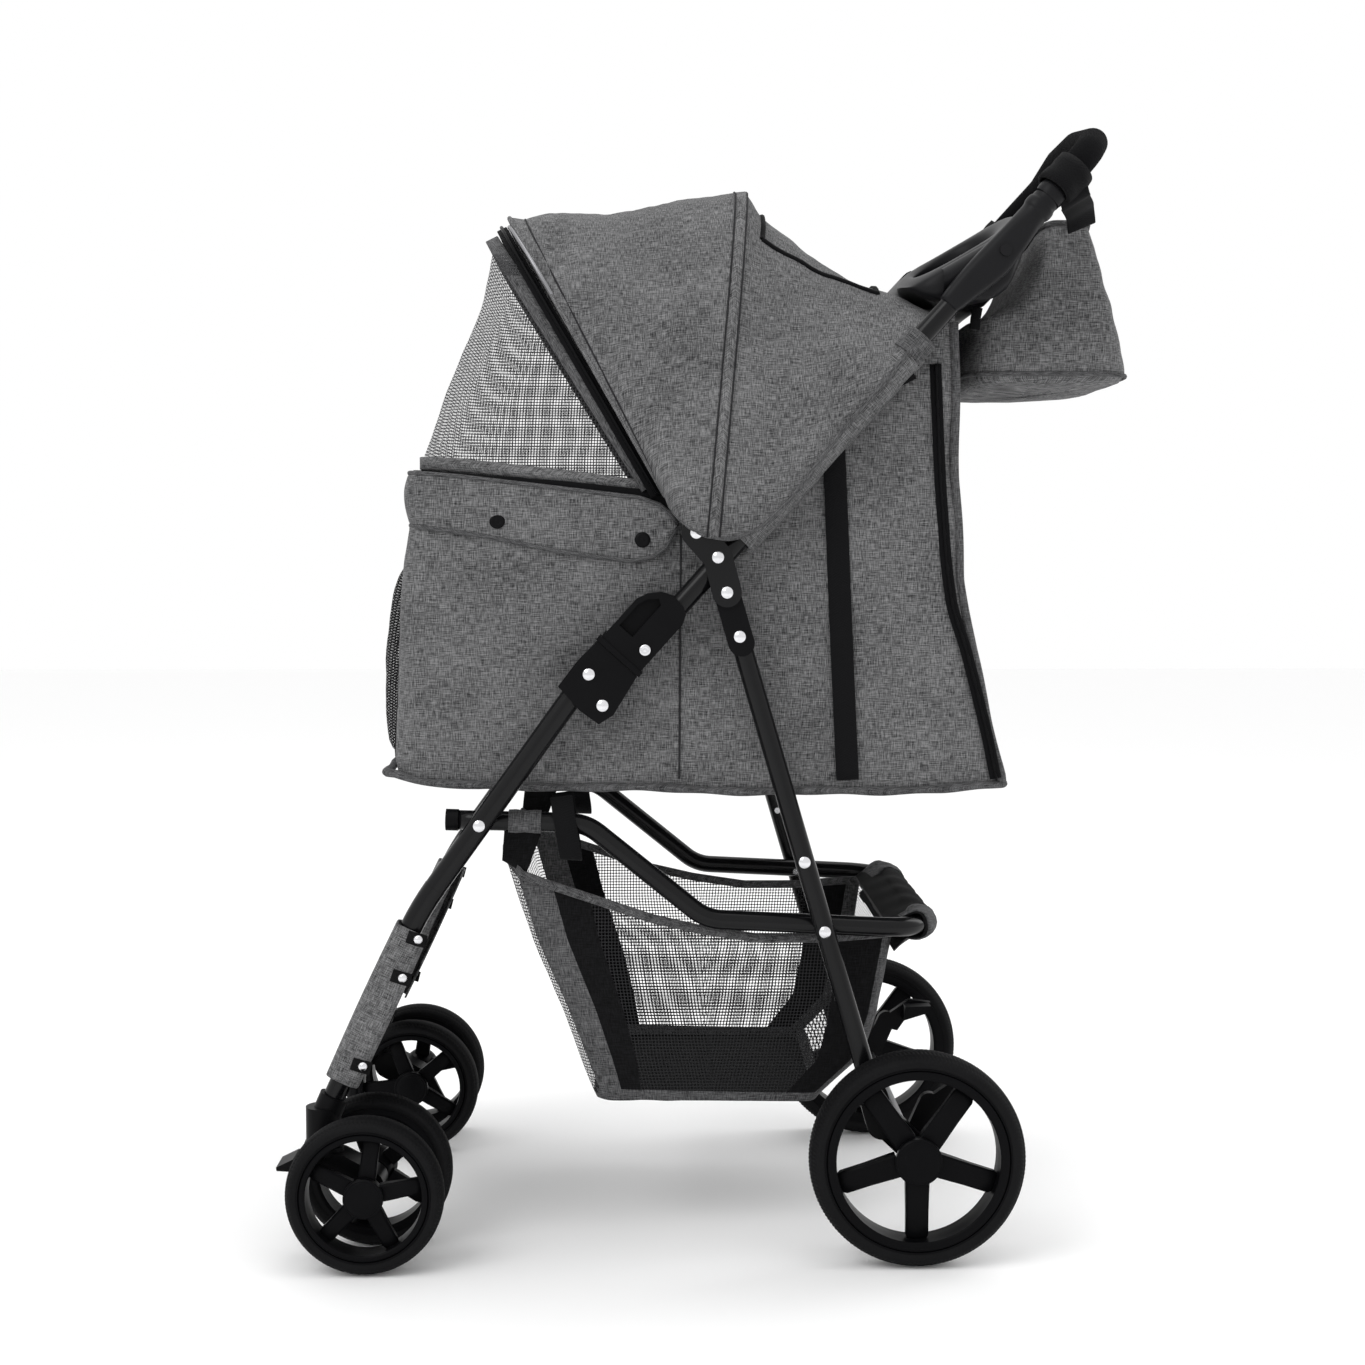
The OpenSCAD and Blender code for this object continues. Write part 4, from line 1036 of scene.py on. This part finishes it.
# sleeves that hold the cabin to the handle tubes
for s, side in SIDES:
    line = []
    for k in range(61):
        x, z = on_handle(lerp(74, 296, k / 60), 2)
        line.append(V(x, s * (LEG_Y + 0.5), z))
    ob = tube(f"tube_sleeve_{side}", line, lambda t: 12.4 + 0.6 * math.sin(t * 43) + 0.5 * math.sin(t * 19), GREY,
            22, caps=False)
    dress(ob, "handle", "grey_cloth")
    ring = [V(on_handle(a, 1)[0], s * (LEG_Y + 0.5), on_handle(a, 1)[1]) for a in (284, 287, 294, 301, 304)]
    ob = tube(f"sleeve_cuff_{side}", ring, lambda t: 14.0 + 0.5 * math.sin(t * 12), TRIM, 22, 1.05, caps=False)
    dress(ob, "handle", "grey_cloth")
    rows = []
    for v in range(9):
        row = []
        a = v / 8
        for k in range(61):
            p = line[k]
            row.append(V(p.x + lerp(4, 9, a), s * (lerp(LEG_Y - 2, CABIN_Y + 2.0, a) + 0.8 * math.sin(k / 3 + v)),
                         p.z - lerp(9, 12, a)))
        rows.append(row)
    dress(grid(f"sleeve_skirt_{side}", rows, GREY, thick=1.6), "handle", "grey_cloth")
    tab = [V(152, s * (CABIN_Y + 5), 752), V(162, s * (CABIN_Y + 5.6), 757), V(172, s * (CABIN_Y + 5), 762)]
    dress(band(f"stud_tab_{side}", tab, V(-0.4, 0, 1), 15, 2.0, WEB), "handle", "black_webbing")
    snap(f"sleeve_stud_{side}", V(161, s * (CABIN_Y + 7), 757), V(0, s, 0), 4.0, STEEL, "handle", "rivet_steel")
# ---------- front pocket ----------
POCKET = [(0, -263, 604), (0.12, -276, 590), (0.25, -283, 575), (0.45, -289, 539), (0.6, -292, 503), (0.8, -292, 465),
          (0.92, -288, 436), (1, -273, 424)]
rows = []
for i in range(33):
    x, z = curve(POCKET, i / 32)
    row = []
    for k in range(61):
        y = lerp(-112, 112, k / 60)
        swell = (1 - abs(y / 112) ** 5)
        base = table(FRONT_X, z) - 1.5
        row.append(V(lerp(base, x, swell) + 1.2 * fbm(x, y, z, 34, 12) * swell, y, z))
    rows.append(row)
pocket = grid("pocket_net_sheet", rows, POCKET_NET)
declare(pocket, rows, "stretched", "cabin_shell")
dress(pocket, "handle", "black_mesh", "front_pocket", squash=True)
loop = [rows[0][k] for k in range(61)] + [r[-1] for r in rows] + [rows[-1][k] for k in range(60, -1,
        -1)] + [r[0] for r in rows[::-1]]
dress(tube("pocket_binding", loop, 4.2, BLACK_CLOTH, 10, caps=False), "handle", "black_mesh", squash=True)

for s, side in SIDES:
    face = max(abs(c[1]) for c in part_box(f"lock_slider_{side}")) / MM
    snap(f"slider_rivet_{side}", V(-56.5, s * (face - 0.2), 525), V(0, s, 0), 5.0, STEEL, f"lock_{side}", "rivet_steel")

# ---------- under straps ----------
for s, side in SIDES:
    loop = [V(-128, s * 151, 400), V(-126, s * 150.4, 385), V(-124, s * 150.5, 368), V(-121.5, s * 152, 352),
            V(-120.5, s * 160, 343), V(-120.5, s * 168, 346), V(-122, s * 172.5, 356), V(-124.5, s * 173, 372),
            V(-127, s * 173, 388), V(-128.5, s * 168, 398)]
    pts = [(k / 9, p.x, p.y, p.z) for k, p in enumerate(loop)]
    line = [Vector(curve(pts, k / 40)) for k in range(41)]
    dress(band(f"under_strap_{side}", line, V(1, 0, -0.05), 19, 1.5, WEB), "handle", "black_webbing",
          *(["under_straps"] if s < 0 else []), squash=True)

# ---------- basket ----------
BK_FRONT = [(121, -99), (130, -103), (208, -131), (270, -157), (348, -181)]
BK_REAR = [(119, 95), (124, 99), (160, 136), (200, 149), (265, 160), (300, 166)]
BK_TOP = [(-181, 349), (-165, 328), (-144, 320), (-96, 304), (-52, 289), (-9, 279), (44, 271), (100, 271), (164, 276)]
BK_BASE = [(-103, 123), (97, 120)]


def basket_point(t, v):
    """t runs round from the middle of the front; v from the foot to the top edge."""
    z = 200.0
    for _ in range(4):
        xf, xr = table(BK_FRONT, z), table(BK_REAR, z)
        half = lerp(126, 148, min(1, (z - 120) / 150))
        r = 14.0
        s0, s1, arc = half - r, (xr - xf) - 2 * r, math.pi * r / 2
        total = 2 * (2 * s0 + s1 + 2 * arc)
        # keep corners at fixed columns
        marks = [0, 0.115, 0.135, 0.365, 0.385, 0.5]
        far = t > 0.5
        u = 1 - t if far else t
        if u < marks[1]:
            x, y = xf, -s0 * u / marks[1]
        elif u < marks[2]:
            a = (u - marks[1]) / (marks[2] - marks[1]) * math.pi / 2
            x, y = xf + r - r * math.cos(a), -s0 - r * math.sin(a)
        elif u < marks[3]:
            x, y = lerp(xf + r, xr - r, (u - marks[2]) / (marks[3] - marks[2])), -half
        elif u < marks[4]:
            a = (u - marks[3]) / (marks[4] - marks[3]) * math.pi / 2
            x, y = xr - r + r * math.sin(a), -half + r - r * math.cos(a)
        else:
            x, y = xr, lerp(-s0, 0, (u - marks[4]) / (marks[5] - marks[4]))
        z = lerp(table(BK_BASE, x), table(BK_TOP, x), v)
    if far:
        y = -y
    sag = 2.2 * math.sin(math.pi * v)
    wob = 1.4 * fbm(x, y, z, 60, 13)
    if abs(y) >= half - 2:
        y += math.copysign(-sag + wob, y)
    else:
        x += (wob if x > 0 else -wob)
    return V(x, y, z)


cols, levels = 320, 36
rows = [[V(p.x * f, p.y * f, 121 + 1.2 * fbm(p.x * f, p.y * f, 0, 50, 14)) for p in [basket_point(j / cols,
        0) for j in range(cols)]]
        for f in (0.0, 0.4, 0.8, 0.97)]
for i in range(levels + 1):
    rows.append([basket_point(j / cols, i / levels) for j in range(cols)])


def basket_mat(i, j):
    p = rows[min(i, len(rows) - 1)][j]
    t = j / cols
    u = 1 - t if t > 0.5 else t
    if i < 4:
        return 1
    if p.z < 128:
        return 2
    if 0.125 < u < 0.148 or 0.368 < u < 0.384:
        return 2
    if 0.148 <= u < 0.170 or 0.336 < u <= 0.368:
        return 1
    return 0


basket = grid("basket_net_tub", rows, [BASKET_NET, BLACK_CLOTH, TRIM], wrap=True, face_mat=basket_mat, uv=box_uv(0, 148))
dress(basket, "rails", "black_mesh", "basket", squash=False)
line = [rows[-1][j] + V(0, math.copysign(0.8, rows[-1][j].y), 0) for j in range(cols)] + [rows[-1][0]]
dress(band("basket_hem", line, V(0, 0, 1), 8, 2.6, TRIM), "rails", "grey_cloth")


def cuff(name, ys, tube_at, radius, wall_pt, mat, body, slot, wave=1.0):
    """Cloth that leaves a wall, goes round a rail and comes back."""
    rows_ = []
    for y in ys:
        cx, cz = tube_at(y)
        wx, wz = wall_pt(y)
        row = [V(wx, y, wz)]
        for k in range(17):
            a = math.radians(lerp(150, -120, k / 16))
            rr = radius + wave * 0.8 * math.sin(y / 9 + k)
            row.append(V(cx + rr * math.cos(a), y, cz + rr * math.sin(a)))
        row.append(V(wx + 3, y, wz - 18))
        rows_.append(row)
    ob = grid(name, rows_, mat, thick=1.4)
    dress(ob, body, slot)
    return ob


def rear_tube(y):
    r = 42.0
    over = abs(y) - (162 - r)
    x = 188.0 if over <= 0 else 188 - r + math.sqrt(max(r * r - over * over, 0))
    return x, 281 + 0.6 * (188 - x) / 12


cuff("rear_cuff", [lerp(-148, 148, k / 60) for k in range(61)], rear_tube, 11.5, lambda y: (158, 279), BLACK_CLOTH,
     "rails", "black_mesh")
cuff("rear_cuff_grey", [lerp(-146, -108, k / 14) for k in range(15)], rear_tube, 13.0, lambda y: (158, 277), TRIM,
     "rails", "grey_cloth")
cuff("rear_cuff_grey_far", [lerp(108, 146, k / 14) for k in range(15)], rear_tube, 13.0, lambda y: (158, 277), TRIM,
     "rails", "grey_cloth")
for s, side in SIDES:
    ring = [V(x, s * 162, 376.2 - (x + 170) * 0.03) for x in (-174, -168, -160, -152, -146)]
    dress(tube(f"front_cuff_{side}", ring, lambda t: 10.0 + 0.5 * math.sin(t * 9), TRIM, 20, caps=False), "rails",
            "grey_cloth")
    rows = []
    for i in range(7):
        a = i / 6
        rows.append([V(lerp(lerp(-178, -181, a), lerp(-144, -160, a), k / 8), s * lerp(155, 147, a)
                + 0.8 * math.sin(k), lerp(372, 340 - 12 * (k / 8), a))
                     for k in range(9)])
    dress(grid(f"front_cuff_tab_{side}", rows, BLACK_CLOTH, thick=1.6), "rails", "black_mesh")

# ---------- apron round the front legs ----------
top, low = (-255, 287), (-316, 156)
rows = []
for i in range(34):
    v = i / 33
    cx, cz = lerp(top[0], low[0], v), lerp(top[1], low[1], v)
    bow = 4.5 * math.sin(math.pi * v)
    row = []
    for s in (-1, 1):
        arc = []
        for k in range(25):
            a = math.radians(lerp(-105, 195, k / 24))
            fore = math.copysign(abs(math.sin(a)) ** 0.5, math.sin(a)) * (14.0 + bow * 0.2)
            aside = math.copysign(abs(math.cos(a)) ** 0.5, math.cos(a)) * (12.4 + 0.3 * math.sin(v * 19 + k))
            arc.append(V(cx - 0.909 * fore, s * (LEG_Y + aside), cz + 0.416 * fore))
        arc = arc if s < 0 else arc[::-1]
        if s < 0:
            row += arc
            for k in range(1, 24):
                y = lerp(-LEG_Y + 12, LEG_Y - 12, k / 24)
                row.append(V(cx - 9 + 3 * math.cos(y / 120 * math.pi / 2) + 1.6 * fbm(y, v * 150, 0, 45, 15), y, cz
                        + 4 + 2 * math.sin(y / 40)))
        else:
            row += arc
    rows.append(row)
apron = grid("apron_cloth", rows, GREY, thick=1.8)
declare(apron, rows, "stretched", "front_leg_left", "front_leg_right")
dress(apron, "front_frame", "grey_cloth", "front_apron")
for s, side in SIDES:
    for k, (x, z) in enumerate(((-249.5, 279), (-263, 246), (-297.5, 170))):
        line = [V(x - 9, s * (LEG_Y + 13.5), z + 3), V(x, s * (LEG_Y + 13.4), z), V(x + 7, s * (LEG_Y + 12.6), z - 2)]
        dress(band(f"apron_tab_{side}_{k}", line, V(-0.45, 0, 0.9), 11, 1.4, BLACK_CLOTH), "front_frame", "grey_cloth")

# ---------- hanging bag ----------
BAG_FRONT = [(742, 226), (760, 227), (784, 229), (812, 233), (822, 262), (840, 275), (868, 287), (893, 294)]
BAG_REAR = [(742, 370), (757, 374), (770, 373), (800, 367), (826, 360), (869, 345), (893, 336)]
rows = []


def bag_ring(z, grow=0.0):
    xf, xr = table(BAG_FRONT, z), table(BAG_REAR, z)
    half = 112 + 4 * math.sin(math.pi * (z - 742) / 150)
    row = []
    for k in range(160):
        a = 2 * math.pi * k / 160
        c, s_ = math.cos(a), math.sin(a)
        e = 2 / 6
        x = (xf + xr) / 2 + (xr - xf) / 2 * math.copysign(abs(c) ** e, c)
        y = half * math.copysign(abs(s_) ** e, s_)
        p = V(x, y, z)
        n = V(c, s_ * 1.2, 0).normalized()
        amount = 2.2 * fbm(x, y, z, 55, 16) + 1.6 * fbm(x, y * 0.6, z, 28, 17) + grow
        amount += 2.0 * math.sin(z / 9 + y / 40) * math.exp(-((z - 815) / 30) ** 2) * (1 if c < 0.2 else 0.3)
        row.append(p + n * amount)
    return row


for i in range(40):
    z = lerp(765, 896, (i / 39) ** 0.9)
    row = bag_ring(z)
    for p in row:
        dip = 10 * math.exp(-((p.y) / 70) ** 2) * (i / 39) ** 3
        p.z -= dip
    rows.append(row)
under = []
for f, z in ((0.0, 752), (0.5, 752), (0.85, 753.5), (0.95, 756), (0.985, 760)):
    base = bag_ring(765)
    c = Vector((298, 0, 0))
    under.append([V(lerp(c.x, p.x, f), p.y * f, z + 0.8 * fbm(p.x, p.y, f * 50, 40, 18) + 4 * max(0,
            (p.x - 298) / 76) * f) for p in base])
rows = under + rows
bag = grid("bag_cloth", rows, GREY, wrap=True, thick=1.8, side=-1, uv=box_uv(300, 112))
dress(bag, "bag", "grey_cloth", "handle_bag")
line = [p + V(0, 0, -1) for p in bag_ring(765, 0.4)]
dress(tube("bag_seam", line + [line[0]], 2.0, TRIM, 8, caps=False), "bag", "grey_cloth")
line = rows[-1] + [rows[-1][0]]
dress(tube("bag_rim", line, 2.6, TRIM, 8, caps=False), "bag", "grey_cloth")
stem = (Vector((on_handle(491, 2)[0], -177.5, on_handle(491, 2)[1])) - Vector((on_handle(474, 1)[0], -LEG_Y,
        on_handle(474, 1)[1])))
for s, side in SIDES:
    d = V(stem.x, -s * stem.y, stem.z).normalized()
    x, z = on_handle(482, 1.5)
    c = V(x, s * (LEG_Y - 1.5), z)
    a_dir = (V(0, 1, 0) - d * d.y).normalized()
    b_dir = d.cross(a_dir)
    rows_ = []
    for w_, r in ((-13, 14.0), (-12.6, 16.2), (-6, 16.6), (0, 16.2), (6, 16.6), (12.6, 16.2), (13, 14.0)):
        rows_.append([c + d * w_ + (a_dir * math.cos(t) * 1.02 + b_dir * math.sin(t)) * (r + 0.7 * math.sin(t * 3 + w_ / 5))
                      for t in [2 * math.pi * k / 44 for k in range(44)]])
    dress(grid(f"strap_ring_{side}", rows_, WEB, wrap=True, thick=1.6, side=1), "bag", "black_webbing",
          *(["bag_straps"] if s < 0 else []))
    tail = [c + V(4, s * 8, -8), c + V(9, s * 2, -19), V(311, s * 158, 905), V(318, s * 140, 902), V(322, s * 126,
            899), V(325, s * 117, 890)]
    pts = [(k / 5, p.x, p.y, p.z) for k, p in enumerate(tail)]
    dress(band(f"strap_tail_{side}", [Vector(curve(pts, k / 30)) for k in range(31)], V(0.85, 0, 0.5), 27, 2.0, WEB), "bag",
          "black_webbing")
    # short end of the strap under the arm
    dress(band(f"strap_end_{side}", [V(236, s * 108, 822), V(234, s * 109, 812), V(233, s * 110, 803)], V(1, 0, 0),
            9, 2.0, WEB),
          "bag", "black_webbing")
